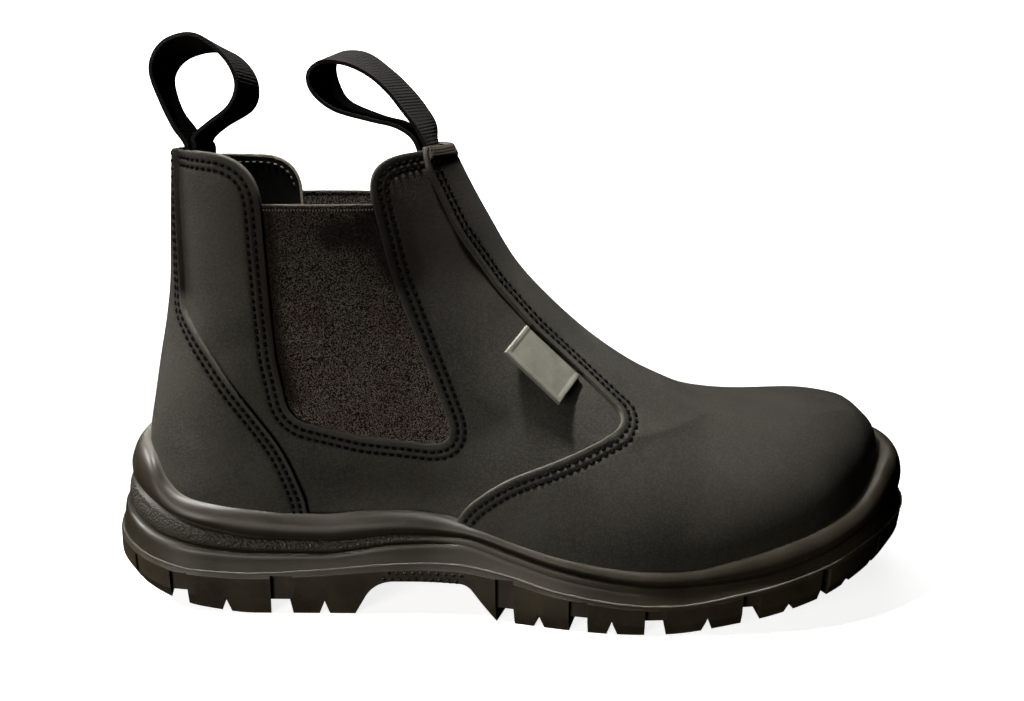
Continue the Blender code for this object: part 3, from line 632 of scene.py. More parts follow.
@dataclass
class Shape:
    """Closed or open triangle mesh in millimetres.

    kinds says which of the piece's finishes each triangle wears, and values what its points carry.
    """

    points: Array
    tris: Array
    kinds: Array
    values: dict[str, Array] = field(default_factory=dict)

    @classmethod
    def plain(cls, points: Array, tris: Array, kind: int = 0) -> "Shape":
        """Shape that wears one finish all over."""
        return cls(points, tris, np.full(len(tris), kind))

    @classmethod
    def joined(cls, shapes: list["Shape"]) -> "Shape":
        """Join shapes into one.

        Args:
            shapes: The shapes, in order.

        Returns:
            One shape; a value that a shape lacks is 0 there.
        """
        starts = np.cumsum([0] + [len(s.points) for s in shapes[:-1]])
        names = sorted({name for s in shapes for name in s.values})
        values = {
            name: np.concatenate([s.values.get(name, np.zeros(len(s.points))) for s in shapes])
            for name in names
        }
        points = np.concatenate([s.points for s in shapes])
        tris = np.concatenate([s.tris + first for s, first in zip(shapes, starts)])
        return cls(points, tris, np.concatenate([s.kinds for s in shapes]), values)

    def outwards(self) -> "Shape":
        """Turn the triangles of a closed shape to face out.

        Returns:
            The same shape, facing out.
        """
        a, b, c = (self.points[self.tris[:, k]] for k in range(3))
        volume = np.sum(a * np.cross(b, c))
        tris = self.tris if volume > 0 else self.tris[:, ::-1]
        return Shape(self.points, tris, self.kinds, self.values)

    def mesh(self, name: str) -> bpy.types.Mesh:
        """Turn the shape into a mesh in the frame's metres.

        Args:
            name: The mesh's name.

        Returns:
            The mesh.
        """
        made = bpy.data.meshes.new(name)
        made.from_pydata((self.points - ORIGIN) * MM, [], self.tris)
        return made


def grid_tris(rows: int, columns: int, wrapped: bool) -> Array:
    """Triangles of a grid of points.

    Args:
        rows: Rows of points.
        columns: Points in a row.
        wrapped: Whether each row is a closed ring.

    Returns:
        Point numbers, three to a triangle.
    """
    across = np.arange(columns if wrapped else columns - 1)
    starts = np.arange(rows - 1)[:, None] * columns
    low = (starts + across).ravel()
    after = (starts + (across + 1) % columns).ravel()
    first = np.stack([low, after, after + columns], axis=-1)
    second = np.stack([low, after + columns, low + columns], axis=-1)
    return np.concatenate([first, second])


def lofted(rings: Array) -> Shape:
    """Skin over a stack of closed rings with the same number of points."""
    return Shape.plain(rings.reshape(-1, 3), grid_tris(rings.shape[0], rings.shape[1], True))


def fan(ring: Array, up: bool) -> Shape:
    """Close a ring round its middle point.

    Args:
        ring: The ring.
        up: Whether the cap faces the way that the ring turns about.

    Returns:
        The cap.
    """
    count = len(ring)
    here, after = np.arange(count), (np.arange(count) + 1) % count
    middle = np.full(count, count)
    tris = np.stack([here, after, middle] if up else [after, here, middle], axis=-1)
    return Shape.plain(np.concatenate([ring, ring.mean(axis=0)[None]]), tris)


def straight_cap(ring: Array, up: bool) -> Shape:
    """Close a line round the sole straight across, from the outer side to the inner.

    Args:
        ring: The line, with as many points on each side.
        up: Whether the cap faces up.

    Returns:
        The cap.
    """
    half = len(ring) // 2
    here = np.arange(half)
    after, across, beside = here + 1, 2 * half - here - 1, (2 * half - here) % (2 * half)
    first = np.stack([here, after, across], axis=-1)[:-1]
    second = np.stack([here, across, beside], axis=-1)[1:]
    tris = np.concatenate([first, second])
    return Shape.plain(ring, tris if up else tris[:, ::-1])


def flat_cap(ring: Array, up: bool) -> Shape:
    """Close a flat outline, which may be hollow in places.

    Args:
        ring: The outline.
        up: Whether the cap faces the way that the outline turns about.

    Returns:
        The cap.
    """
    plane = ring - ring.mean(axis=0)
    turning = np.sum(np.cross(plane, np.roll(plane, -1, axis=0)), axis=0)
    _, _, axes = np.linalg.svd(plane)
    flat = [(*spot, 0.0) for spot in (plane @ axes[:2].T).tolist()]
    tris = np.array(mathutils.geometry.tessellate_polygon([flat]))
    a, b, c = (ring[tris[:, k]] for k in range(3))
    facing = np.sum(np.cross(b - a, c - a), axis=0) @ turning
    return Shape.plain(ring, tris if (facing > 0) == up else tris[:, ::-1])


def prism(start: Array, stop: Array) -> Shape:
    """Closed prism between two end outlines with the same number of points."""
    sides = lofted(np.array([start, stop]))
    return Shape.joined([sides, flat_cap(start, False), flat_cap(stop, True)]).outwards()


def cut_away(block: Shape, cutters: list[Shape], edge: float) -> Shape:
    """Cut shapes out of a block and break its edges.

    Args:
        block: The block.
        cutters: What is cut out of it.
        edge: Width of the broken edges.

    Returns:
        What is left.
    """
    items = []
    for shape in (block, *cutters):
        mesh = shape.mesh("working")
        weld = bmesh.new()
        weld.from_mesh(mesh)
        bmesh.ops.remove_doubles(weld, verts=weld.verts, dist=WELD)
        weld.to_mesh(mesh)
        weld.free()
        item = bpy.data.objects.new("working", mesh)
        bpy.context.scene.collection.objects.link(item)
        items.append(item)
    for cutter in items[1:]:
        step = items[0].modifiers.new("cut", "BOOLEAN")
        step.solver = "EXACT"
        step.object = cutter
    bevel = items[0].modifiers.new("edge", "BEVEL")
    bevel.width, bevel.segments = edge * MM, BEVEL_SEGMENTS
    bevel.limit_method, bevel.angle_limit = "ANGLE", math.radians(BEVEL_ANGLE)
    made = items[0].evaluated_get(bpy.context.evaluated_depsgraph_get()).to_mesh()
    made.calc_loop_triangles()
    points = np.empty(len(made.vertices) * 3, np.float32)
    tris = np.empty(len(made.loop_triangles) * 3, np.int32)
    made.vertices.foreach_get("co", points)
    made.loop_triangles.foreach_get("vertices", tris)
    for item in items:
        bpy.data.objects.remove(item, do_unlink=True)
    return Shape.plain(points.reshape(-1, 3) / MM + ORIGIN, tris.reshape(-1, 3))


def curve_through(rows: Array, steps: int) -> Array:
    """Smooth line through points.

    Args:
        rows: The points, of any width.
        steps: Pieces between each two.

    Returns:
        Points of the line, the given ones among them.
    """
    padded = np.concatenate([2 * rows[:1] - rows[1:2], rows, 2 * rows[-1:] - rows[-2:-1]])
    fine = []
    for k in range(len(rows) - 1):
        before, start, stop, after = padded[k : k + 4]
        for t in np.arange(steps) / steps:
            bend = (stop - before) * t + (2 * before - 5 * start + 4 * stop - after) * t**2
            fine.append(start + (bend + (3 * start - 3 * stop + after - before) * t**3) / 2)
    return np.array(fine + [rows[-1]])


def marked_runs(line: Array, marked: Array) -> Iterator[Array]:
    """Stretches of a line whose points are all marked.

    Args:
        line: Point numbers of the line.
        marked: Whether each of its points is marked.

    Yields:
        Point numbers of each stretch that is long enough to sew.
    """
    for part in np.split(np.arange(len(line)), np.flatnonzero(np.diff(marked.astype(int))) + 1):
        if len(part) > 3 and marked[part[0]]:
            yield line[part]


@dataclass
class Patch:
    """Piece of a surface: points with normals, triangles, and named values at the points."""

    points: Array
    normals: Array
    tris: Array
    values: dict[str, Array]

    def raised(self, height: Array) -> Array:
        """Points at a height over the surface."""
        return self.points + self.normals * height[:, None]

    def edges(self) -> Array:
        """Edges of every triangle in turn, as pairs of points."""
        return np.stack([self.tris, np.roll(self.tris, -1, axis=1)], axis=-1).reshape(-1, 2)

    def split(self, name: str, *places: float) -> "Patch":
        """Cut triangles in two along the lines where a value is at some places.

        Args:
            name: The value.
            *places: What it is on each line.

        Returns:
            The same surface with points on those lines.
        """
        if not places:
            return self
        at, *others = places
        level = self.values[name] - at
        level = np.where(np.abs(level) < SNAP, 0.0, level)
        count = len(self.points)
        edges = self.edges()
        low, high = edges.min(axis=1), edges.max(axis=1)
        crossed = level[low] * level[high] < 0
        keys, place = np.unique(low[crossed] * count + high[crossed], return_inverse=True)
        first, second = keys // count, keys % count
        share = level[first] / (level[first] - level[second])
        made = np.full(len(edges), -1)
        made[crossed] = count + place
        made = made.reshape(-1, 3)

        def grown(old: Array) -> Array:
            """Old values with those of the new points after them."""
            weight = share if old.ndim == 1 else share[:, None]
            return np.concatenate([old, old[first] * (1 - weight) + old[second] * weight])

        values = {label: grown(value) for label, value in self.values.items()}
        values[name][:count] = np.where(level == 0, at, values[name][:count])
        values[name][count:] = at
        number = (made >= 0).sum(axis=1)
        tris = [self.tris[number == 0]]
        for turn in range(3):
            a, b, c = np.roll(self.tris, -turn, axis=1).T
            ab, bc, ca = np.roll(made, -turn, axis=1).T
            alone = (number == 2) & (bc < 0)
            tris += [np.stack(t, axis=-1)[alone] for t in ((a, ab, ca), (ab, b, c), (ab, c, ca))]
            halved = (number == 1) & (bc >= 0)
            tris += [np.stack(t, axis=-1)[halved] for t in ((a, b, bc), (a, bc, c))]
        cut = Patch(grown(self.points), unit(grown(self.normals)), np.concatenate(tris), values)
        return cut.split(name, *others)

    def kept(self, keep: Array) -> "Patch":
        """Keep some of the triangles.

        Args:
            keep: Whether each triangle is kept.

        Returns:
            Those triangles, with only the points they use.
        """
        used, tris = np.unique(self.tris[keep], return_inverse=True)
        values = {name: value[used] for name, value in self.values.items()}
        return Patch(self.points[used], self.normals[used], tris.reshape(-1, 3), values)

    def trimmed(self, name: str, at: float, below: bool) -> "Patch":
        """Cut the surface along a line and keep one side of it.

        Args:
            name: The value that draws the line.
            at: What it is on the line.
            below: Whether the side with smaller values is kept.

        Returns:
            The kept side.
        """
        cut = self.split(name, at)
        middle = cut.values[name][cut.tris].mean(axis=1) - at
        return cut.kept(middle < 0 if below else middle > 0)

    def rim(self) -> Array:
        """Find the surface's border.

        Returns:
            Edges with a triangle on one side only, in the order that their triangle runs.
        """
        edges = self.edges()
        keys = edges.min(axis=1) * len(self.points) + edges.max(axis=1)
        _, place, number = np.unique(keys, return_inverse=True, return_counts=True)
        return edges[number[place] == 1]

    def shell(self, top: Array, bottom: Array, kinds: tuple[int, int, int] = (0, 0, 0)) -> Shape:
        """Give the surface a wall.

        Args:
            top: Height of the outer face over the surface.
            bottom: Height of the inner face over it.
            kinds: Finishes of the outer face, the rim and the inner face.

        Returns:
            A closed shape.
        """
        count = len(self.points)
        a, b = self.rim().T
        rim = np.concatenate([np.stack(t, axis=-1) for t in ((b, a, a + count), (b, a + count, b + count))])
        tris = np.concatenate([self.tris, self.tris[:, ::-1] + count, rim])
        marks = np.repeat((kinds[0], kinds[2], kinds[1]), (len(self.tris), len(self.tris), len(rim)))
        values = {name: np.concatenate([value, value]) for name, value in self.values.items()}
        return Shape(np.concatenate([self.raised(top), self.raised(bottom)]), tris, marks, values)

    def lines(self, name: str, at: float) -> list[Array]:
        """Lines along which a value is `at`, on a surface already split there.

        Args:
            name: The value.
            at: What it is on the lines.

        Returns:
            Point numbers of each line in order.
        """
        on_line = np.abs(self.values[name] - at) < SNAP
        edges = self.edges()
        edges = np.unique(np.sort(edges[on_line[edges].all(axis=1)], axis=1), axis=0)
        links: dict[int, list[int]] = {}
        for a, b in edges.tolist():
            links.setdefault(a, []).append(b)
            links.setdefault(b, []).append(a)
        found = []
        ends_first = sorted(links, key=lambda point: (len(links[point]) != 1, point))
        for start in ends_first:
            line = [start]
            while links.get(line[-1]):
                after = links[line[-1]].pop()
                links[after].remove(line[-1])
                line.append(after)
            if len(line) > 2:
                found.append(np.array(line))
        return found


def upper_patch(stations: int, steps: int) -> Patch:
    """Fine surface of the upper's outer face.

    Args:
        stations: Points along each side.
        steps: Rows of points between two rings.

    Returns:
        The surface, with its level, side and the distance up to its top line.
    """
    level = np.linspace(0.0, len(RINGS) - 1, (len(RINGS) - 1) * steps + 1)[:, None]
    rings = upper_ring(level, end_spaced(stations))
    around = np.roll(rings, -1, axis=1) - np.roll(rings, 1, axis=1)
    normals = unit(np.cross(around, np.gradient(rings, axis=0)))
    rise = np.linalg.norm(np.diff(rings, axis=0), axis=-1)
    from_top = np.concatenate([np.cumsum(rise[::-1], axis=0)[::-1], np.zeros_like(rise[:1])])
    sides = np.repeat([float(side) for side in Side], (stations + 1, stations - 1))
    values = {
        "level": np.broadcast_to(level, rings.shape[:2]).flatten(),
        "side": np.broadcast_to(sides, rings.shape[:2]).flatten(),
        "from_top": from_top.flatten(),
    }
    tris = grid_tris(rings.shape[0], rings.shape[1], True)
    return Patch(rings.reshape(-1, 3), normals.reshape(-1, 3), tris, values)


def place(
    name: str,
    shape: Shape,
    looks: list[bpy.types.Material],
    slot: Slot,
    node: str | None = None,
    sharp: float = SHADE_SHARP,
) -> None:
    """Put a shape in the scene as one piece of the boot.

    Args:
        name: The piece's name.
        shape: Its mesh.
        looks: Its materials, in the order of the shape's kinds.
        slot: Not used.
        node: The CAD node it stands for, if any.
        sharp: Angle in degrees from which an edge is shaded as an edge.
    """
    mesh = shape.mesh(name)
    for look in looks:
        mesh.materials.append(look)
    mesh.polygons.foreach_set("material_index", shape.kinds.astype(np.int32))
    mesh.polygons.foreach_set("use_smooth", np.ones(len(shape.tris), bool))
    for label in sorted(set(shape.values).intersection(CARRIED)):
        carried = mesh.attributes.new(label, "FLOAT", "POINT")
        carried.data.foreach_set("value", shape.values[label].astype(np.float32))
    mesh.set_sharp_from_angle(angle=math.radians(sharp))
    mesh.update()
    item = bpy.data.objects.new(name, mesh)
    bpy.context.scene.collection.objects.link(item)
    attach(item, "root")
    if node:
        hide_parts(node)
    LOG.info("%s: %d triangles", name, len(shape.tris))


# Finishes


class Effect(Enum):
    """Node group that more than one finish uses, by its name."""

    GRAIN = "grain"
    MOTTLE = "mottle"
    DUST = "dust"
    WEAVE = "weave"


class Ramp(NamedTuple):
    """How a value is carried from one range over to another, held at its ends."""

    low: float
    high: float
    to_low: float = 0.0
    to_high: float = 1.0


class Relief(NamedTuple):
    """Grain or weave that raises a surface: its size and depth in millimetres, its strength and its nap."""

    size: float
    depth: float
    strength: float
    nap: float = 0.0


class Tree:
    """Shorthand for building a node tree."""

    def __init__(self, tree: bpy.types.NodeTree) -> None:
        """Take the tree to build in."""
        self.tree = tree

    def add(self, kind: str, inputs: Inputs | None = None, **settings: object) -> bpy.types.Node:
        """Add a node.

        Args:
            kind: The node's type.
            inputs: Values or sockets for its inputs, by name or number.
            **settings: Its properties.

        Returns:
            The node.
        """
        node = self.tree.nodes.new(kind)
        for name, value in settings.items():
            setattr(node, name, value)
        for name, value in (inputs or {}).items():
            self.feed(node.inputs[name], value)
        return node

    def feed(self, into: Socket, value: object) -> None:
        """Link a socket to an input, or set the input's value.

        Args:
            into: The input.
            value: A socket, a number or a colour.
        """
        if isinstance(value, bpy.types.NodeSocket):
            self.tree.links.new(value, into)
        elif into.type == "RGBA":
            into.default_value = (*value, 1.0)
        else:
            into.default_value = value

    def maths(self, operation: str, *terms: object) -> Socket:
        """Sum, product or other operation on numbers."""
        return self.add("ShaderNodeMath", dict(enumerate(terms)), operation=operation).outputs[0]

    def blend(self, share: object, low: object, high: object) -> Socket:
        """Mix of two colours."""
        return self.add("ShaderNodeMix", {0: share, 6: low, 7: high}, data_type="RGBA").outputs[2]

    def span(self, value: object, ramp: Ramp) -> Socket:
        """Value carried along a ramp."""
        return self.add("ShaderNodeMapRange", {0: value, **dict(enumerate(ramp, 1))}).outputs[0]

    def carried(self, name: str) -> Socket:
        """Value that the mesh's points carry."""
        return self.add("ShaderNodeAttribute", attribute_name=name).outputs["Fac"]

    def effect(self, kind: Effect, **inputs: object) -> bpy.types.Node:
        """Node group, with its inputs by name."""
        return self.add("ShaderNodeGroup", inputs, node_tree=bpy.data.node_groups[kind.value])


class Group(Tree):
    """Node group under way."""

    def __init__(self, kind: Effect, outputs: dict[str, str], **inputs: object) -> None:
        """Start the group.

        Args:
            kind: The effect it makes.
            outputs: Its outputs and their socket types.
            **inputs: Its inputs and their usual values; the first is the effect's size in millimetres.
        """
        super().__init__(bpy.data.node_groups.new(kind.value, "ShaderNodeTree"))
        for label, usual in inputs.items():
            tint = isinstance(usual, tuple)
            socket_type = "NodeSocketColor" if tint else "NodeSocketFloat"
            socket = self.tree.interface.new_socket(label, in_out="INPUT", socket_type=socket_type)
            socket.default_value = (*usual, 1.0) if tint else usual
        for label, socket_type in outputs.items():
            self.tree.interface.new_socket(label, in_out="OUTPUT", socket_type=socket_type)
        self.given = self.add("NodeGroupInput").outputs
        self.out = self.add("NodeGroupOutput").inputs
        per_step = self.maths("DIVIDE", 1 / MM, self.given["size"])
        spot = {0: self.add("ShaderNodeTexCoord").outputs["Object"], "Scale": per_step}
        self.place_on = self.add("ShaderNodeVectorMath", spot, operation="SCALE").outputs[0]

    def texture(self, kind: str, inputs: Inputs, **settings: object) -> bpy.types.Node:
        """Texture laid over the boot in steps of the group's size."""
        return self.add("ShaderNodeTex" + kind, {"Vector": self.place_on, **inputs}, **settings)


@dataclass(frozen=True)
class Effects:
    """The shared node groups."""

    pebble: Ramp = Ramp(0.1, 0.8, 1.0, 0.0)
    cloud: Ramp = Ramp(0.34, 0.66)
    film: Ramp = Ramp(0.42, 0.72)
    speck: Ramp = Ramp(0.16, 0.08)
    speck_share: float = 0.6

    def build(self) -> None:
        """Build the groups."""
        self.build_grain()
        self.build_mottle()
        self.build_dust()
        self.build_weave()

    def build_grain(self) -> None:
        """Pebbled grain with finer nap over it."""
        group = Group(Effect.GRAIN, {"height": "NodeSocketFloat"}, size=1.0, nap=0.5)
        cells = group.texture("Voronoi", {"Scale": 1.0}, feature="SMOOTH_F1")
        nap = group.texture("Noise", {"Scale": 2.2, "Detail": 4.0, "Roughness": 0.6})
        raised = group.maths("MULTIPLY", nap.outputs[0], group.given["nap"])
        pebble = group.span(cells.outputs["Distance"], self.pebble)
        group.feed(group.out["height"], group.maths("ADD", pebble, raised))

    def build_mottle(self) -> None:
        """Uneven colour in clouds of two sizes."""
        outputs = {"colour": "NodeSocketColor", "mask": "NodeSocketFloat"}
        tones = {"low": (0.0, 0.0, 0.0), "high": (1.0, 1.0, 1.0)}
        group = Group(Effect.MOTTLE, outputs, size=20.0, fine=0.35, **tones)
        given = group.given
        clouds = group.texture("Noise", {"Scale": 1.0, "Detail": 3.0})
        specks = group.texture("Noise", {"Scale": 14.0, "Detail": 3.0})
        terms = {0: given["fine"], 2: clouds.outputs[0], 3: specks.outputs[0]}
        mask = group.span(group.add("ShaderNodeMix", terms).outputs[0], self.cloud)
        group.feed(group.out["mask"], mask)
        group.feed(group.out["colour"], group.blend(mask, given["low"], given["high"]))

    def build_dust(self) -> None:
        """Dust and lint: soft film with specks in it."""
        group = Group(Effect.DUST, {"mask": "NodeSocketFloat"}, size=30.0, amount=0.5)
        film = group.texture("Noise", {"Scale": 1.0, "Detail": 5.0})
        specks = group.texture("Voronoi", {"Scale": 18.0})
        dots = group.maths("MULTIPLY", group.span(specks.outputs["Distance"], self.speck), self.speck_share)
        both = group.maths("MAXIMUM", group.span(film.outputs[0], self.film), dots)
        group.feed(group.out["mask"], group.maths("MULTIPLY", both, group.given["amount"]))

    def build_weave(self) -> None:
        """Close crossing threads."""
        group = Group(Effect.WEAVE, {"height": "NodeSocketFloat"}, size=1.0)
        rise, cross = (
            group.texture("Wave", {"Scale": 1.0, "Distortion": 0.6}, bands_direction=way).outputs["Fac"]
            for way in ("Z", "X")
        )
        group.feed(group.out["height"], group.maths("MULTIPLY", rise, cross))


class Look(Tree):
    """Material under way: its shader, and the colour and the mask of its clouds so far."""

    def __init__(self, name: str, **fixed: object) -> None:
        """Start the material.

        Args:
            name: The material's name.
            **fixed: Shader inputs that stay the same all over, with _ for each space.
        """
        self.material = bpy.data.materials.new(name)
        self.material.use_nodes = True
        super().__init__(self.material.node_tree)
        self.shader = self.tree.nodes["Principled BSDF"]
        self.colour: Socket | None = None
        self.mask: Socket | None = None
        for label, value in fixed.items():
            self.wear(label.replace("_", " "), value)

    def wear(self, label: str, value: object) -> None:
        """Give the shader one of its inputs."""
        self.feed(self.shader.inputs[label], value)

    def cover(self, share: Socket, tone: Colour) -> None:
        """Lay a tone over the colour so far."""
        self.colour = self.blend(share, self.colour, tone)

    def drift(self, low: float, high: float) -> Socket:
        """Value that goes from low to high with the clouds."""
        return self.span(self.mask, Ramp(0.0, 1.0, low, high))

    def bump(self, height: Socket, relief: Relief) -> None:
        """Raise the surface by a height."""
        terms = {"Height": height, "Distance": relief.depth * MM, "Strength": relief.strength}
        self.wear("Normal", self.add("ShaderNodeBump", terms).outputs["Normal"])

    def grain(self, size: float, nap: float) -> Socket:
        """Height of a pebbled grain."""
        return self.effect(Effect.GRAIN, size=size, nap=nap).outputs[0]

    def dust(self, size: float, amount: float) -> Socket:
        """Where dust lies."""
        return self.effect(Effect.DUST, size=size, amount=amount).outputs[0]

    def weave(self, size: float) -> Socket:
        """Height of crossing threads."""
        return self.effect(Effect.WEAVE, size=size).outputs[0]


@dataclass(frozen=True)
class Finish:
    """Plain finish: a colour that drifts between two tones in clouds."""

    name: str
    low: Colour
    high: Colour
    cloud_size: float
    fine: float
    rough: float
    specular: float

    def build(self) -> bpy.types.Material:
        """Build the material.

        Returns:
            The material.
        """
        look = Look(self.name, Roughness=self.rough, Specular_IOR_Level=self.specular)
        clouds = {"size": self.cloud_size, "low": self.low, "high": self.high, "fine": self.fine}
        look.colour, look.mask = look.effect(Effect.MOTTLE, **clouds).outputs
        self.dress(look)
        look.wear("Base Color", look.colour)
        return look.material

    def dress(self, look: Look) -> None:
        """Add what sets a finish apart, which for a plain one is nothing."""


@dataclass(frozen=True)
class Leather(Finish):
    """Matte nubuck, with painted shade and dirt along its stitch rows and paler cut edges."""

    name: str = "leather"
    low: Colour = (0.024, 0.0232, 0.0198)
    high: Colour = (0.042, 0.0402, 0.0342)
    cloud_size: float = 22.0
    fine: float = 0.4
    rough: float = 0.75
    specular: float = 0.14
    rough_drift: float = 0.09
    edge: Colour = (0.062, 0.059, 0.051)
    edge_shown: Ramp = Ramp(0.15, 0.8, 0.85, 0.0)
    # Tone of the painted shade and dirt in the stitch troughs.
    groove: Colour = (0.006, 0.0055, 0.005)
    groove_shown: Ramp = Ramp(0.2, 1.0, 0.0, 0.55)
    nap: Colour = (0.075, 0.072, 0.062)
    nap_shown: Ramp = Ramp(0.9, 1.45, 0.0, 0.45)
    dust: Colour = (0.12, 0.115, 0.10)
    dust_size: float = 26.0
    dust_amount: float = 0.10
    # Tone of the painted shade and shadow.
    soil: Colour = (0.008, 0.0058, 0.0038)
    relief: Relief = Relief(0.7, 0.11, 0.6, nap=0.9)

    def dress(self, look: Look) -> None:
        """Lay nap, dust, paler edges from wear, painted shade and dirt in the stitch grooves and painted
        shade and shadow over the colour, and raise the grain.

        Args:
            look: The material under way.
        """
        grain = look.grain(self.relief.size, self.relief.nap)
        look.cover(look.span(grain, self.nap_shown), self.nap)
        look.cover(look.dust(self.dust_size, self.dust_amount), self.dust)
        look.cover(look.span(look.carried("edge"), self.edge_shown), self.edge)
        # Painted shade and dirt in the stitch troughs.
        look.cover(look.span(look.carried("seam"), self.groove_shown), self.groove)
        # Painted shade and shadow.
        look.cover(look.carried("soil"), self.soil)
        look.wear("Roughness", look.drift(self.rough - self.rough_drift, self.rough + self.rough_drift))
        look.bump(grain, self.relief)


@dataclass(frozen=True)
class CutEdge(Finish):
    """Raw leather edge."""

    name: str = "cut_edge"
    low: Colour = (0.050, 0.0465, 0.039)
    high: Colour = (0.135, 0.126, 0.106)
    cloud_size: float = 2.5
    fine: float = 0.5
    rough: float = 0.9
    specular: float = 0.2
    # Tone of the painted shade, as along the heel counter's rear edge.
    soil: Colour = (0.006, 0.005, 0.004)
    relief: Relief = Relief(0.5, 0.12, 0.8, nap=1.0)

    def dress(self, look: Look) -> None:
        """Lay painted shade over the colour and raise the grain."""
        look.cover(look.carried("soil"), self.soil)
        look.bump(look.grain(self.relief.size, self.relief.nap), self.relief)


@dataclass(frozen=True)
class Lining(Finish):
    """Black textile inside the boot."""

    name: str = "lining"
    low: Colour = (0.003, 0.003, 0.003)
    high: Colour = (0.008, 0.008, 0.0075)
    cloud_size: float = 12.0
    fine: float = 0.5
    rough: float = 0.95
    specular: float = 0.15
    relief: Relief = Relief(3.0, 0.15, 0.6)

    def dress(self, look: Look) -> None:
        """Raise the weave."""
        look.bump(look.weave(self.relief.size), self.relief)


@dataclass(frozen=True)
class Elastic(Finish):
    """Crinkled stretch cloth, brown-black."""

    name: str = "elastic"
    low: Colour = (0.275, 0.252, 0.206)
    high: Colour = (0.230, 0.166, 0.160)
    cloud_size: float = 14.0
    fine: float = 0.25
    rough: float = 0.92
    specular: float = 0.08
    deep: Colour = (0.004, 0.0034, 0.0028)
    deep_shown: Ramp = Ramp(0.66, 1.34, 1.0, 0.0)
    # Tone of the painted highlight along the top edge of the hem.
    hem: Colour = (0.160, 0.145, 0.125)
    hem_shown: Ramp = Ramp(0.2, 0.7, 0.8, 0.0)
    relief: Relief = Relief(0.42, 0.12, 0.7, nap=0.5)

    def dress(self, look: Look) -> None:
        """Darken the crinkle's depths, lay painted shade and shadow, paint a highlight along the top edge of
        the hem and raise the crinkle.

        Args:
            look: The material under way.
        """
        crinkle = look.grain(self.relief.size, self.relief.nap)
        look.cover(look.span(crinkle, self.deep_shown), self.deep)
        # Painted highlight along the top edge of the hem.
        look.cover(look.span(look.carried("edge"), self.hem_shown), self.hem)
        # Painted shade and shadow, in the tone of the crinkle's depths.
        look.cover(look.carried("soil"), self.deep)
        look.bump(crinkle, self.relief)


@dataclass(frozen=True)
class Webbing(Finish):
    """Ribbed woven band."""

    name: str = "webbing"
    low: Colour = (0.004, 0.0035, 0.003)
    high: Colour = (0.011, 0.0098, 0.009)
    cloud_size: float = 6.0
    fine: float = 0.6
    rough: float = 0.9
    specular: float = 0.12
    relief: Relief = Relief(3.0, 0.12, 0.8)
    shade: Ramp = Ramp(0.0, 1.0, 0.6, 0.0)

    def dress(self, look: Look) -> None:
        """Darken the colour between the ribs and raise the weave."""
        look.cover(look.span(look.carried("lift"), self.shade), self.low)
        look.bump(look.weave(self.relief.size), self.relief)


@dataclass(frozen=True)
class Thread(Finish):
    """Sewing thread."""

    cloud_size: float = 2.0
    fine: float = 0.5
    rough: float = 0.85
    specular: float = 0.06


@dataclass(frozen=True)
class SoleRubber(Finish):
    """Moulded rubber: satin, dusty, with wear and a painted highlight on its crest, and pitted where it is
    stippled.
    """

    cloud_size: float = 16.0
    fine: float = 0.3
    rough: float = 0.4
    specular: float = 0.45
    dust_amount: float = 0.0
    dust_size: float = 18.0
    dust: Colour = (0.085, 0.068, 0.045)
    # Lighter crest tone: wear and a painted highlight.
    worn: Colour = (0.20, 0.19, 0.165)
    smoother: float = 0.05
    rougher: float = 0.09
    relief: Relief = Relief(1.6, 0.32, 0.8, nap=0.5)
    skin_share: float = 0.03
    pit_size: float = 0.75
    pit_nap: float = 0.2
    pit_share: float = 2.0
    pit_rough: float = 0.2

    def dress(self, look: Look) -> None:
        """Lay dust, and wear with a painted highlight, over the colour, and raise the skin and the stipple.

        Args:
            look: The material under way.
        """
        look.cover(look.dust(self.dust_size, self.dust_amount), self.dust)
        look.cover(look.carried("edge"), self.worn)
        stipple = look.carried("stipple")
        rough = look.drift(self.rough - self.smoother, self.rough + self.rougher)
        look.wear("Roughness", look.maths("ADD", rough, look.maths("MULTIPLY", stipple, self.pit_rough)))
        skin = look.maths("MULTIPLY", look.grain(self.relief.size, self.relief.nap), self.skin_share)
        deep = look.maths("MULTIPLY", stipple, self.pit_share)
        pits = look.maths("MULTIPLY", look.grain(self.pit_size, self.pit_nap), deep)
        look.bump(look.maths("ADD", skin, pits), self.relief)


@dataclass(frozen=True)
class TagRubber(Finish):
    """Olive-grey moulded tag."""

    name: str = "tag_rubber"
    low: Colour = (0.105, 0.102, 0.085)
    high: Colour = (0.155, 0.150, 0.126)
    cloud_size: float = 5.0
    fine: float = 0.4
    rough: float = 0.55
    specular: float = 0.4
    relief: Relief = Relief(0.6, 0.06, 0.6, nap=1.0)

    def dress(self, look: Look) -> None:
        """Raise the grain."""
        look.bump(look.grain(self.relief.size, self.relief.nap), self.relief)


# Cream raw edge inside the inner side's opening, painted much lighter to stand for light falling on it.
RAW_EDGE_PAINTED_LIGHT = CutEdge("raw_edge", (0.22, 0.19, 0.14), (0.55, 0.49, 0.38))
BINDING = Webbing("binding", (0.020, 0.0155, 0.012), (0.055, 0.044, 0.035))
DARK_THREAD = Thread("thread", (0.0012, 0.0012, 0.001), (0.0035, 0.0033, 0.003))
PALE_THREAD = Thread("pale_thread", (0.12, 0.112, 0.10), (0.23, 0.215, 0.19))
FLASH_RUBBER = SoleRubber(
    "flash_rubber", (0.034, 0.029, 0.021), (0.075, 0.066, 0.050), rough=0.55, dust_amount=0.2
)
RIM_RUBBER = SoleRubber(
    "rim_rubber", (0.0185, 0.0152, 0.0096), (0.0290, 0.0243, 0.0165), rough=0.40, dust_amount=0.06
)
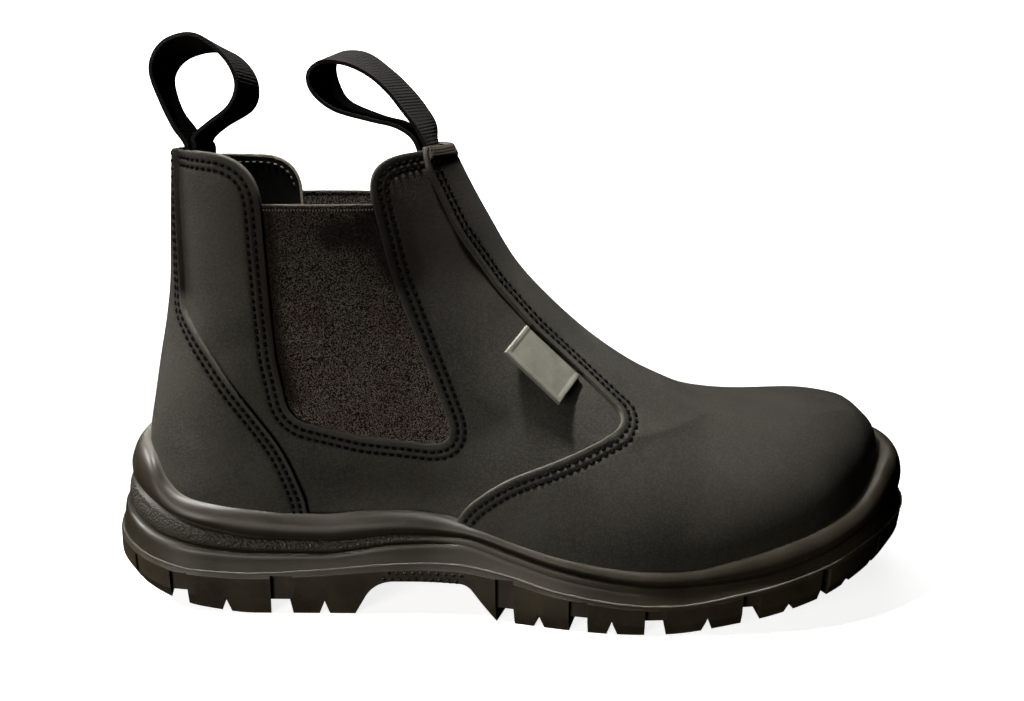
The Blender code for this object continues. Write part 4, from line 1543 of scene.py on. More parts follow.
# Near-black rubber for the nubs along the tread's edges: painted shade among the nubs.
PAINTED_SHADE_NUB_RUBBER = SoleRubber("pit_rubber", (0.0015, 0.0012, 0.0008), (0.0035, 0.0028, 0.0018), rough=0.9)
TREAD_RUBBER = SoleRubber(
    "tread_rubber", (0.0200, 0.0150, 0.0082), (0.0380, 0.0295, 0.0160), rough=0.52, dust_amount=0.16
)


class Looks:
    """Every material of the boot."""

    def __init__(self) -> None:
        """Build the shared node groups and the materials."""
        Effects().build()
        self.leather = Leather().build()
        self.cut_edge = CutEdge().build()
        self.raw_edge = RAW_EDGE_PAINTED_LIGHT.build()
        self.lining = Lining().build()
        self.elastic = Elastic().build()
        self.webbing = Webbing().build()
        self.binding = BINDING.build()
        self.flash = FLASH_RUBBER.build()
        self.thread = DARK_THREAD.build()
        self.pale_thread = PALE_THREAD.build()
        self.rim = RIM_RUBBER.build()
        self.pit = PAINTED_SHADE_NUB_RUBBER.build()
        self.tread = TREAD_RUBBER.build()
        self.tag = TagRubber().build()


# Sub-assemblies


def run_along(line: Array) -> Array:
    """Distance of each point of a line from its start."""
    return np.concatenate([[0], np.cumsum(np.linalg.norm(np.diff(line, axis=0), axis=1))])


@dataclass(frozen=True)
class Stitching:
    """Row of sewn stitches, or of moulded nubs, that follows a line on a surface."""

    pitch: float
    length: float
    radius: float
    rise: float
    dip: float = 0.30
    blunt: float = 0.02
    fullness: int = 4
    rings: int = 7
    sides: int = 6

    def template(self) -> tuple[Array, Array]:
        """One stitch.

        Returns:
            Its points (along, across, up) and triangles.
        """
        share = np.linspace(-1, 1, self.rings)
        girth = self.radius * np.sqrt(np.maximum(1 - share**self.fullness, self.blunt))
        middle = self.rise - self.dip * share**2
        angle = np.arange(self.sides) * 2 * math.pi / self.sides
        along = np.repeat(share * self.length / 2, self.sides)
        across = (girth[:, None] * np.cos(angle)).ravel()
        up = (middle[:, None] + girth[:, None] * np.sin(angle)).ravel()
        last = (self.rings - 1) * self.sides
        ends = [[[0, k + 1, k], [last, last + k, last + k + 1]] for k in range(1, self.sides - 1)]
        tris = np.concatenate([grid_tris(self.rings, self.sides, True), np.array(ends).reshape(-1, 3)])
        return np.stack([along, across, up], axis=-1), tris

    def sew(self, line: Array, normals: Array, kind: int = 0) -> list[Shape]:
        """Sew along a line.

        Args:
            line: Points of the line.
            normals: Normals of the surface there.
            kind: Finish that the stitches wear.

        Returns:
            The row, or nothing where the line is too short.
        """
        run = run_along(line)
        number = int(run[-1] / self.pitch)
        if number < 1:
            return []
        at = (np.arange(number) + 0.5) * run[-1] / number

        def read(places: Array, table: Array) -> Array:
            """Table of points read at places along the line."""
            return np.stack([np.interp(places, run, table[:, k]) for k in range(3)], axis=-1)

        spot, up = read(at, line), unit(read(at, normals))
        half = self.length / 2
        along = unit(read(np.minimum(at + half, run[-1]), line) - read(np.maximum(at - half, 0), line))
        across = unit(np.cross(up, along))
        ways = (along, across, np.cross(along, across))
        points, tris = self.template()
        placed = spot[:, None] + sum(points[None, :, k, None] * way[:, None] for k, way in enumerate(ways))
        tris = tris[None] + np.arange(number)[:, None, None] * len(points)
        return [Shape.plain(placed.reshape(-1, 3), tris.reshape(-1, 3), kind)]


SEAM = Stitching(pitch=2.7, length=2.15, radius=0.72, rise=0.06)
LINING_SEAM = Stitching(pitch=2.6, length=1.7, radius=0.3, rise=0.1)
HEM_SEAM = Stitching(pitch=1.0, length=0.62, radius=0.34, rise=0.12)
ARCH_NUBS = Stitching(pitch=2.3, length=2.0, radius=0.85, rise=0.1, dip=0.2)
EDGE_NUBS = Stitching(pitch=2.9, length=1.5, radius=0.75, rise=0.42)


class SoftLine(NamedTuple):
    """Soft trough pressed into the leather, or painted shade laid on it, drawn from the side.

    Without a side it lies on both. A trough's depth is in millimetres, painted shade's is a share.
    """

    path: tuple[tuple[float, float], ...]
    side: Side | None
    width: float
    depth: float


CREASES = table(
    SoftLine,
    (((142, 66), (152, 74), (160, 86)), Side.OUTER, 6.0, 0.35),
    (((48, 92), (60, 100), (70, 104)), Side.OUTER, 6.0, 0.35),
    (((84, 43), (104, 44), (124, 42)), None, 10.0, 2.2),
    (((236, 30), (256, 34), (272, 39), (284, 46)), None, 12.0, 0.6),
    (((40, 66), (46, 52), (48, 40)), None, 7.0, 0.30),
)
# Painted shade and shadow laid into the colour: the leather edge's shadow along the outer elastic's rear
# edge, the front pull loop's shadow on the elastic and on the quarter, shade on the heel counter's rear
# edge, darker over the toe and over the front strip, and a darker top to the outer elastic.
PAINTED_SHADES = table(
    SoftLine,
    (((69.5, 147), (70.6, 118), (72.4, 95), (75.4, 80)), Side.OUTER, 3.2, 0.95),
    (((93.0, 137.5), (104.0, 138.5), (109.0, 139.0)), Side.OUTER, 3.8, 0.90),
    (((111.5, 143), (113.0, 134), (116.0, 125)), Side.OUTER, 6.0, 0.85),
    (((39.5, 190), (38.5, 150), (39.0, 118)), Side.OUTER, 3.0, 0.90),
    (((238, 62), (262, 60), (286, 50)), None, 48.0, 0.44),
    (((126, 158), (138, 130), (160, 104)), None, 14.0, 0.40),
    (((74, 142), (92, 141), (108, 140)), Side.OUTER, 34.0, 0.55),
)


def soft_lines(lines: tuple[SoftLine, ...], patch: Patch) -> Array:
    """How strongly soft lines mark a surface.

    Args:
        lines: The lines.
        patch: Surface of the upper, with its sides.

    Returns:
        The lines' depths, fading with the distance from them.
    """
    x, _, z = patch.points.T
    depth = np.zeros(len(x))
    for soft in lines:
        reach = np.full(len(x), np.inf)
        for spot in curve_through(np.array(soft.path, float), SOFT_LINE_STEPS):
            reach = np.minimum(reach, np.hypot(x - spot[0], z - spot[1]))
        here = 1.0 if soft.side is None else patch.values["side"] == soft.side
        depth += soft.depth * hump(reach / soft.width) * here
    return depth


@dataclass
class Upper:
    """Leather shell, its overlays, the elastics in its sides and the stitches that hold them."""

    looks: Looks
    stations: int = 112
    steps: int = 9
    # Most painted shade at any point.
    most_soil: float = 0.9
    edge_round: float = 0.45
    edge_fall: float = 0.8
    inner_fall: float = 0.4
    edge_cuts: tuple[float, ...] = (0.08, 0.22, 0.45, 1.0)
    # How far in from the opening the inner face wears the cream raw edge, painted lighter to stand for light
    # on it.
    raw_edge: float = 1.05
    trough: float = 0.45
    trough_width: float = 0.80
    trough_cuts: tuple[float, ...] = (-1.6, -0.8, 0.0, 0.8, 1.6)
    seam_width: float = 0.95
    opening_rows: tuple[float, ...] = (3.0, 5.6)
    vamp_rows: tuple[float, ...] = (2.8, 5.4)
    counter_rows: tuple[float, ...] = (2.1, 4.5)
    clear_of_overlay: float = 1.0
    overlay_from_level: float = 0.45
    overlay_sink: float = 0.1
    cloth_inset: float = 0.7
    tuck: float = 1.0
    hem: float = 1.5
    hem_rise: float = 0.45
    hem_soft: float = 0.4
    hem_cuts: tuple[float, ...] = (-1.0, 0.0, 0.4, 0.9)
    hem_inside: float = 0.3
    tab: float = 4.8
    tab_inset: float = 1.4
    tab_rise: float = 0.5
    tab_round: float = 0.8
    tab_cuts: tuple[float, ...] = (0.3, 0.8)
    tab_search: float = 14.4
    rib_pitch: float = 1.3
    rib_rise: float = 0.1
    fine: Patch = field(init=False)
    seams: list[Shape] = field(default_factory=list)
    pale_seams: list[Shape] = field(default_factory=list)

    def build(self) -> None:
        """Build every piece of the upper."""
        self.fine = fine = upper_patch(self.stations, self.steps)
        outer, inner, vamp, counter = (
            outline_distance(rounded(corners), fine.points, fine.normals)
            for corners in (GUSSET + HORNS_LATERAL, GUSSET + HORNS_MEDIAL, VAMP, COUNTER)
        )
        fine.values["opening"] = np.where(fine.values["side"] < 0, outer, inner)
        fine.values["vamp"], fine.values["counter"] = -vamp, -counter
        fine.values["crease"] = soft_lines(CREASES, fine)
        # Painted shade and shadow for the leather, the cut edges and the elastic.
        fine.values["soil"] = np.clip(soft_lines(PAINTED_SHADES, fine), 0.0, self.most_soil)
        self.build_quarter()
        self.build_overlay("vamp", "vamp", self.vamp_rows)
        self.build_overlay("heel_counter", "counter", self.counter_rows)
        self.build_elastic("gusset_lateral", Side.OUTER, GUSSET_TOP_LATERAL)
        self.build_elastic("gusset_medial", Side.INNER, GUSSET_TOP_MEDIAL)
        self.build_tab()
        place("seam_stitches", Shape.joined(self.seams), [self.looks.thread], Slot.LEATHER)
        place("hem_stitches", Shape.joined(self.pale_seams), [self.looks.pale_thread], Slot.ELASTIC)

    def edge_drop(self, edge: Array) -> Array:
        """Rounding of a cut edge: how far the face falls at a distance from the edge."""
        return self.edge_round * (1 - quarter_round(edge, self.edge_round)) * self.edge_fall

    def pressed(self, run: Array, rows: tuple[float, ...]) -> tuple[Array, Array]:
        """Troughs of the stitch rows.

        Args:
            run: Distance from the panel's edge.
            rows: Where the rows run.

        Returns:
            How far the rows press in, and how near each point is to a row.
        """
        press = sum(self.trough * hump((run - row) / self.trough_width) for row in rows)
        near = sum(hump((run - row) / self.seam_width) for row in rows)
        return press, np.clip(near, 0.0, 1.0)

    def panel(self, patch: Patch, name: str, rows: tuple[float, ...]) -> Patch:
        """Cut a panel out and split it so that its edge and its troughs come out clean.

        Args:
            patch: The surface it is cut from.
            name: The value that holds the distance in from its edge.
            rows: Where its stitch rows run.

        Returns:
            The panel, with the distance from its nearest edge.
        """
        beside = (row + cut * self.trough_width for row in rows for cut in self.trough_cuts)
        cut = patch.trimmed(name, 0.0, below=False).split(name, *self.edge_cuts, *beside)
        cut.values["edge"] = np.minimum(cut.values[name], cut.values["from_top"])
        return cut

    def sew_rows(self, patch: Patch, top: Array, name: str, rows: tuple[float, ...], shown: Array) -> None:
        """Sew the rows of one panel.

        Args:
            patch: The panel, split along its rows.
            top: Height of its face over the patch.
            name: The value that holds the distance from its edge.
            rows: Where the rows run.
            shown: Whether each point may be sewn.
        """
        face = patch.raised(top)
        for row in rows:
            for line in patch.lines(name, row):
                for run in marked_runs(line, shown[line]):
                    self.seams += SEAM.sew(face[run], patch.normals[run])

    def build_quarter(self) -> None:
        """Build the shell itself with its openings and lining."""
        leather, cut_edge, lining, raw_edge = range(4)
        patch = self.panel(self.fine, "opening", self.opening_rows)
        vamp, counter, edge = (patch.values[name] for name in ("vamp", "counter", "edge"))
        bare = (vamp <= 0) & (counter <= 0)
        marks = self.pressed(patch.values["opening"], self.opening_rows)
        press, patch.values["seam"] = (np.where(bare, mark, 0.0) for mark in marks)
        top = -self.edge_drop(edge) - press - patch.values["crease"]
        bottom = self.inner_fall * self.edge_drop(edge) - WALL - patch.values["crease"]
        shape = patch.shell(top, bottom, (leather, cut_edge, lining))
        # The inner side's lining near the opening wears the cream raw edge, painted lighter to stand for
        # light falling on it.
        inner_side = patch.values["side"][patch.tris].min(axis=1) > 0
        raw = inner_side & (edge[patch.tris].max(axis=1) < self.raw_edge)
        shape.kinds[np.flatnonzero(shape.kinds == lining)[raw]] = raw_edge
        looks = [self.looks.leather, self.looks.cut_edge, self.looks.lining, self.looks.raw_edge]
        place("upper_shell", shape, looks, Slot.LEATHER, "upper")
        self.sew_inside(patch, bottom)
        clear = (vamp < -self.clear_of_overlay) & (counter < -self.clear_of_overlay)
        self.sew_rows(patch, top, "opening", self.opening_rows, clear)

    def sew_inside(self, patch: Patch, bottom: Array) -> None:
        """Sew the pale stitches that show on the lining along the inner side's opening.

        Args:
            patch: The shell, split along its rows.
            bottom: Height of its inner face over the patch.
        """
        face = patch.raised(bottom)
        high = (patch.values["side"] > 0) & (patch.points[:, 2] > GUSSET_TOP_MEDIAL)
        for line in patch.lines("opening", self.opening_rows[0]):
            for run in marked_runs(line, high[line]):
                self.pale_seams += LINING_SEAM.sew(face[run], -patch.normals[run])

    def build_overlay(self, node: str, name: str, rows: tuple[float, ...]) -> None:
        """Build one leather overlay with its stitch rows.

        Args:
            node: The CAD node.
            name: The value that holds the distance in from its edge.
            rows: Where its stitch rows run.
        """
        above = self.fine.values["level"][self.fine.tris].min(axis=1) > self.overlay_from_level
        patch = self.panel(self.fine.kept(above), name, rows)
        press, patch.values["seam"] = self.pressed(patch.values[name], rows)
        top = GAP + OVERLAY - self.edge_drop(patch.values["edge"]) - press - patch.values["crease"]
        shape = patch.shell(top, -self.overlay_sink - patch.values["crease"], (0, 1, 0))
        place(node + "_overlay", shape, [self.looks.leather, self.looks.cut_edge], Slot.LEATHER, node)
        self.sew_rows(patch, top, name, rows, np.ones(len(top), bool))

    def build_tab(self) -> None:
        """Build the woven binding over the top of the front strip."""
        near_top = self.fine.values["from_top"][self.fine.tris] < self.tab_search
        patch = self.fine.kept(near_top.all(axis=1))
        patch = patch.trimmed("vamp", self.tab_inset, below=False).trimmed("from_top", self.tab, below=True)
        for at in self.tab_cuts:
            patch = patch.split("vamp", self.tab_inset + at).split("from_top", self.tab - at, at)
        high, vamp = patch.values["from_top"], patch.values["vamp"]
        edge = np.minimum(np.minimum(high, self.tab - high), vamp - self.tab_inset)
        rise = self.tab_rise * np.sqrt(np.clip(edge / self.tab_round, 0.0, 1.0))
        patch.values["lift"] = ripple(vamp, self.rib_pitch)
        top = GAP + OVERLAY + rise + self.rib_rise * patch.values["lift"]
        place("front_binding", patch.shell(top, np.full(len(top), GAP)), [self.looks.binding], Slot.WEBBING)

    def build_elastic(self, node: str, side: Side, top_z: float) -> None:
        """Build one elastic side panel with its hem.

        Args:
            node: The CAD node.
            side: Side of the boot.
            top_z: Height of its top edge.
        """
        here = (self.fine.values["side"][self.fine.tris] == side).all(axis=1)
        patch = self.fine.kept(here).trimmed("opening", self.tuck, below=True)
        patch.values["edge"] = top_z - patch.points[:, 2]
        cuts = [self.hem + cut for cut in self.hem_cuts]
        patch = patch.trimmed("edge", 0.0, below=False).split("edge", *cuts)
        from_top = patch.values["edge"]
        sewn_at = self.hem + self.hem_soft
        rise = self.hem_rise * ease((sewn_at - from_top) / (2 * self.hem_soft)) - self.edge_drop(from_top)
        top = rise - ELASTIC_INSET - self.cloth_inset
        shape = patch.shell(top, -ELASTIC_INSET - ELASTIC - self.hem_inside * rise)
        place(node + "_cloth", shape, [self.looks.elastic], Slot.ELASTIC, node)
        face = patch.raised(top)
        for line in patch.lines("edge", sewn_at):
            self.pale_seams += HEM_SEAM.sew(face[line], patch.normals[line])


@dataclass
class PullLoop:
    """Webbing pull loop: one ribbed band with a selvedge at each side."""

    looks: Looks
    name: str
    rows: tuple[StrapRow, ...]
    steps: int = 36
    across: int = 16
    rib_pitch: float = 1.25
    rib_height: float = 0.16
    selvedge: float = 1.6
    selvedge_soft: float = 0.6
    selvedge_lift: float = 0.75
    edge_round: float = 0.6

    def build(self) -> None:
        """Build the band."""
        x, z, turn, tip, cup = curve_through(np.array(self.rows, float), self.steps).T
        turn, tip = np.radians(turn), np.radians(tip)
        centre = np.stack([x, np.zeros_like(x), z], axis=-1)
        width = np.stack([np.sin(turn) * np.cos(tip), np.cos(turn) * np.cos(tip), np.sin(tip)], axis=-1)
        normal = unit(np.cross(width, unit(np.gradient(centre, axis=0))))
        share = np.sin(np.linspace(-1, 1, self.across + 1) * math.pi / 2)
        half = WEBBING_WIDTH / 2
        middle = centre[:, None] + width[:, None] * (share * half)[None, :, None]
        middle[..., 0] += cup[:, None] * share**2
        from_edge = half * (1 - np.abs(share))
        rib = ripple(run_along(centre), self.rib_pitch)[:, None]
        inside = ease((from_edge - self.selvedge) / self.selvedge_soft)[None]
        lift = rib * inside + self.selvedge_lift * (1 - inside)
        thick = WEBBING / 2 - self.rib_height * (1 - lift)
        thick = thick * quarter_round(from_edge, self.edge_round)[None]
        raised = normal[:, None] * thick[..., None]
        rings = np.concatenate([(middle + raised)[:, 1:], (middle - raised)[:, :0:-1]], axis=1)
        band = lofted(rings)
        band.values["lift"] = np.concatenate([lift[:, 1:], lift[:, :0:-1]], axis=1).ravel()
        shape = Shape.joined([band, fan(rings[0], True), fan(rings[-1], False)])
        place(self.name + "_band", shape, [self.looks.webbing], Slot.WEBBING, self.name)


@dataclass
class SideTag:
    """Plain moulded tag with a raised border, held in the front seam."""

    looks: Looks
    cells_along: int = 60
    cells_across: int = 40
    border: float = 1.5
    border_rise: float = 0.30
    border_soft: float = 0.5
    edge_round: float = 0.5
    root_depth: float = 3.0

    def build(self) -> None:
        """Build the tag."""
        along = unit(np.array(TAG_ALONG))
        across = unit(np.array(TAG_ACROSS) - along * (along @ np.array(TAG_ACROSS)))
        up = np.cross(across, along)
        u, v = np.broadcast_arrays(
            np.linspace(-TAG_LENGTH / 2, TAG_LENGTH / 2, self.cells_along + 1)[None],
            np.linspace(0, TAG_WIDTH, self.cells_across + 1)[:, None],
        )
        reach = np.minimum(TAG_LENGTH / 2 - np.abs(u), np.minimum(v + self.root_depth, TAG_WIDTH - v))
        half = TAG_THICKNESS / 2 - self.edge_round * (1 - quarter_round(reach, self.edge_round))
        sunk = self.border_rise * ease((reach - self.border) / self.border_soft)
        flat = np.array(TAG_ROOT) + along * u[..., None] + across * v[..., None]
        patch = Patch(flat.reshape(-1, 3), np.broadcast_to(up, (u.size, 3)), grid_tris(*u.shape, False), {})
        shape = patch.shell((half - sunk).ravel(), -half.ravel())
        place("side_tag_plate", shape, [self.looks.tag], Slot.TAG, "side_tag")


class Band(NamedTuple):
    """Stretch of the rim between two of its lines, and the rows of points between each two."""

    first: int
    last: int
    steps: int
    stippled: bool = False
    rubbed: bool = False


class Fade(NamedTuple):
    """Gradual change along the boot: where it starts and how far it takes."""

    start: float
    length: float

    def at(self, x: Array) -> Array:
        """0 before the change and 1 after it."""
        return ease((x - self.start) / self.length)


@dataclass
class Sole:
    """Moulded rim round the upper, lugged tread under it and the insole."""

    looks: Looks
    stations: int = 150
    edge_stations: int = 240
    bands: tuple[Band, ...] = (
        Band(0, 3, 3),
        Band(3, 4, 2),
        Band(4, 8, 3, stippled=True),
        Band(8, 9, 2),
        Band(9, 17, 5, rubbed=True),
    )
    lip: SideRow = SideRow("groove", "bead", 0.96, back=18.0, front=292.4, outset=-6.0, heel_step=0.0)
    seat_drop: float = 0.5
    rim_sharp: float = 30.0
    stipple_end: Fade = Fade(95.0, 38.0)
    crest_share: float = 0.80
    crest_width: float = 0.12
    # Lightening of the bead's crest: wear and a painted highlight, stronger round the heel, with painted
    # shade taking most of it away towards the toe.
    rub: float = 0.22
    rub_heel: float = 0.5
    rub_heel_end: Fade = Fade(55.0, 45.0)
    rub_toe_loss: float = 0.2
    rub_toe_start: Fade = Fade(230.0, 40.0)
    flash_size: float = 0.42
    flash_out: float = 0.3
    flash_sides: int = 8
    flash_uneven: tuple[float, float] = (0.75, 1.25)
    flash_seed: int = 7
    lug_round: float = 0.35
    tread_sharp: float = 14.0
    notch_clear: float = 1.0
    nub_number: int = 30
    nub_margin: float = 2.5
    nub_sink: float = 0.1
    nub_insets: tuple[float, ...] = (1.2, 3.6, 6.0)
    nub_lifts: tuple[float, ...] = (1.0, 3.3)
    insole_level: float = 0.5
    insole_stations: int = 60
    insole_columns: int = 25
    insole_least: float = 0.1
    insole_edge: float = 0.6
    insole_edge_steep: float = 6.0

    def build(self) -> None:
        """Build the rim, the tread and the insole."""
        self.build_rim()
        self.build_tread()
        self.build_insole()

    def build_rim(self) -> None:
        """Build the rim: flash, ledge, stippled band, groove and bead."""
        loops = np.array([side_loop(row, self.stations) for row in (*MIDSOLE_SIDE, self.lip)])
        count = loops.shape[1]
        rings, pitted, worn = [loops[:1]], [np.zeros(1)], [np.zeros(1)]
        for band in self.bands:
            picked = loops[band.first : band.last + 1].reshape(band.last + 1 - band.first, -1)
            rings.append(curve_through(picked, band.steps).reshape(-1, count, 3)[1:])
            number = len(rings[-1])
            pitted.append(np.full(number, float(band.stippled)))
            from_crest = np.arange(number) / number - self.crest_share
            worn.append(hump(from_crest / self.crest_width) * band.rubbed)
        shape = lofted(np.concatenate(rings))
        x = shape.points[:, 0]
        shape.values["stipple"] = np.repeat(np.concatenate(pitted), count) * (1 - self.stipple_end.at(x))
        # Wear and painted highlight on the crest, more round the heel; painted shade takes it back towards
        # the toe.
        rubbed = self.rub + self.rub_heel * (1 - self.rub_heel_end.at(x))
        rubbed = rubbed - self.rub_toe_loss * self.rub_toe_start.at(x)
        shape.values["edge"] = np.repeat(np.concatenate(worn), count) * rubbed
        seat = upper_ring(0.0, end_spaced(self.stations))
        seat[:, 2] = column(HEIGHTS, "bed", seat[:, 0]) - self.seat_drop
        shapes = [shape, self.flash(loops[0]), lofted(np.array([loops[-1], seat]))]
        whole = Shape.joined([*shapes, straight_cap(seat, True), straight_cap(loops[0], False)])
        looks = [self.looks.rim, self.looks.flash]
        place("sole_rim", whole, looks, Slot.SOLE_RUBBER, "midsole", sharp=self.rim_sharp)

    def flash(self, loop: Array) -> Shape:
        """Thin uneven line of rubber squeezed out along the parting of the mould.

        Args:
            loop: The parting line.

        Returns:
            A closed ring.
        """
        tangent = unit(np.roll(loop, -1, axis=0) - np.roll(loop, 1, axis=0))
        outward = unit(np.cross(tangent, (0.0, 0.0, 1.0)))
        up = np.cross(outward, tangent)
        draw = np.random.default_rng(self.flash_seed)
        girth = draw.uniform(*self.flash_uneven, (1, len(loop), 1)) * self.flash_size
        angle = np.linspace(0, 2 * math.pi, self.flash_sides, endpoint=False)[:, None, None]
        rings = loop + outward * self.flash_out + (outward * np.cos(angle) - up * np.sin(angle)) * girth
        tris = grid_tris(self.flash_sides + 1, len(loop), True) % (self.flash_sides * len(loop))
        return Shape.plain(rings.reshape(-1, 3), tris, 1).outwards()

    def build_tread(self) -> None:
        """Build the lugged tread, cut out of one block."""
        loops = [side_loop(row, self.stations) for row in OUTSOLE_SIDE]
        caps = [straight_cap(loops[-1], True), straight_cap(loops[0], False)]
        block = Shape.joined([lofted(np.array(loops)), *caps])
        arch_ends = [np.insert(rounded(ARCH), 1, y, axis=1) for y in (-REACH, REACH)]
        cutters = [prism(*arch_ends), self.lug_gaps(), self.lug_notches(), self.channel(), self.crosses()]
        tread = Shape.joined([cut_away(block, cutters, self.lug_round), *self.knurls()])
        looks = [self.looks.tread, self.looks.pit]
        place("sole_tread", tread, looks, Slot.SOLE_RUBBER, "outsole", sharp=self.tread_sharp)

    def knurls(self) -> list[Shape]:
        """Make the rows of small nubs under the arch, along both edges.

        Returns:
            The rows.
        """
        start, stop = ARCH[2], ARCH[3]
        x = np.linspace(start.x + self.nub_margin, stop.x - self.nub_margin, self.nub_number)
        ceiling = np.interp(x, (start.x, stop.x), (start.z, stop.z)) + self.nub_sink
        down = np.tile((0.0, 0.0, -1.0), (len(x), 1))
        rows = []
        for side in Side:
            for inset in self.nub_insets:
                y = swing(x) + side * (column(SOLE_PLAN, side.width_name, x) - inset)
                rows += ARCH_NUBS.sew(np.stack([x, y, ceiling], axis=-1), down)
            for number, lift in enumerate(self.nub_lifts):
                frames = [self.edge_frame(float(at), side) for at in x + number * EDGE_NUBS.pitch / 2]
                face = np.array([[*point, z] for (point, _, _), z in zip(frames, ceiling + lift)])
                out = np.array([[*outward, 0.0] for _, outward, _ in frames])
                # The edge nubs wear the near-black rubber: painted shade.
                rows += EDGE_NUBS.sew(face, out, kind=1)
        return rows

    def edge_frame(self, x: float, side: Side) -> tuple[Array, Array, Array]:
        """Where the sole's edge is.

        Args:
            x: Place along the boot.
            side: Side of the boot.

        Returns:
            The point, the way out and the way along, in plan.
        """
        whole = side_loop(OUTSOLE_SIDE[1], self.edge_stations)[:, :2]
        inner_side = np.concatenate([whole[:1], whole[: self.edge_stations - 1 : -1]])
        loop = whole[: self.edge_stations + 1] if side is Side.OUTER else inner_side
        k = int(np.argmin(np.abs(loop[1:-1, 0] - x))) + 1
        along = unit(loop[k + 1] - loop[k - 1])
        return loop[k], np.array([along[1], -along[0]]) * -side, along

    def edge_spot(self, x: float, side: Side, out: float, shift: float, z: float) -> list[float]:
        """Point at a distance out from the sole's edge and along it."""
        point, outward, along = self.edge_frame(x, side)
        lean = HEEL_LEAN if x < ARCH[2].x else FOREFOOT_LEAN
        return [*(point + outward * out + along * (shift - lean * out)), z]

    def lug_gaps(self) -> Shape:
        """Shape the gaps between the lugs: a channel under the tread and a shallow recess up the side.

        Returns:
            Their cutter.
        """
        prisms = []
        for row in GAPS:
            tread = float(column(HEIGHTS, "tread", row.x))
            top = float(column(HEIGHTS, "parting", row.x)) - LUG_LIP
            root, under = tread + LUG, tread - CLEAR
            outer = ((CLEAR, under), (CLEAR, top), (-LUG_FACE, top), (-LUG_FACE, root))
            profile = (*outer, (-row.depth, root), (-row.depth, under))
            for side in Side:
                ends = [
                    np.array([self.edge_spot(row.x, side, out, shift, z) for out, z in profile])
                    for shift in (-row.width / 2, row.width / 2)
                ]
                prisms.append(prism(*ends))
        return Shape.joined(prisms)

    def lug_notches(self) -> Shape:
        """Shape the V notch in the foot of each long lug.

        Returns:
            Their cutter.
        """
        prisms = []
        half = NOTCH_WIDTH / 2
        for x in NOTCH_X:
            tread = float(column(HEIGHTS, "tread", x))
            under = tread - self.notch_clear
            notch = ((-half, under), (half, under), (0.0, tread + NOTCH_HEIGHT))
            for side in Side:
                ends = [
                    np.array([self.edge_spot(x, side, out, shift, z) for shift, z in notch])
                    for out in (CLEAR, -NOTCH_DEPTH)
                ]
                prisms.append(prism(*ends))
        return Shape.joined(prisms)

    def channel(self) -> Shape:
        """Shape the channel that runs round inside the edge lugs.

        Returns:
            Its cutter.
        """
        low, high = -CLEAR, CHANNEL_HEIGHT
        corners = ((CHANNEL_FROM, low), (CHANNEL_FROM, high), (CHANNEL_TO, high), (CHANNEL_TO, low))
        loops = []
        for inset, lift in corners:
            loop = side_loop(OUTSOLE_SIDE[0], self.stations, -inset)
            loop[:, 2] = column(HEIGHTS, "tread", loop[:, 0]) + lift
            loops.append(loop)
        points = np.concatenate(loops)
        tris = grid_tris(len(corners) + 1, len(loops[0]), True) % len(points)
        return Shape.plain(points, tris).outwards()

    def crosses(self) -> Shape:
        """Shape the cross grooves between the middle lugs.

        Returns:
            Their cutter.
        """
        prisms = []
        half = CROSS_WIDTH / 2
        groove = ((-half, -CLEAR), (half, -CLEAR), (half, CHANNEL_HEIGHT), (-half, CHANNEL_HEIGHT))
        for x in CROSS_X:
            reach = float(column(SOLE_PLAN, "medial", x)) - (CHANNEL_FROM + CHANNEL_TO) / 2
            tread = float(column(HEIGHTS, "tread", x))
            ends = [
                np.array([[x + dx, float(swing(x)) + y, tread + dz] for dx, dz in groove])
                for y in (-reach, reach)
            ]
            prisms.append(prism(*ends))
        return Shape.joined(prisms)

    def build_insole(self) -> None:
        """Build the insole: a thin dished pad."""
        along = end_spaced(self.insole_stations)
        left, right = (upper_point(self.insole_level, along, side) for side in Side)
        share = np.sin(np.linspace(-1, 1, self.insole_columns) * math.pi / 2)[None, :, None]
        middle, half = (left + right) / 2, (right - left) / 2
        clear = WALL + GAP
        inset = 1 - clear / np.maximum(np.linalg.norm(half, axis=1), clear + self.insole_least)
        top = middle[:, None] + half[:, None] * share * inset[:, None, None]
        top[..., 0] = np.clip(top[..., 0], left[0, 0] + clear, left[-1, 0] - clear)
        top[..., 2] = column(HEIGHTS, "bed", top[..., 0]) + GAP
        flat = top.reshape(-1, 3)
        ups = np.broadcast_to(np.array([0.0, 0.0, 1.0]), flat.shape)
        patch = Patch(flat, ups, grid_tris(*top.shape[:2], False), {})
        edge = np.broadcast_to(1 - share[..., 0] ** 2, top.shape[:2]).ravel()
        thick = INSOLE - self.insole_edge * hump(edge * self.insole_edge_steep)
        shape = patch.shell(thick, np.zeros(len(flat)))
        place("insole_pad", shape, [self.looks.lining], Slot.LINING, "insole")


# Studio


class Light(NamedTuple):
    """One soft light."""

    name: str
    place: Place
    aim: Place
    size: float
    power: float
    colour: Colour
    spread: float = 180.0


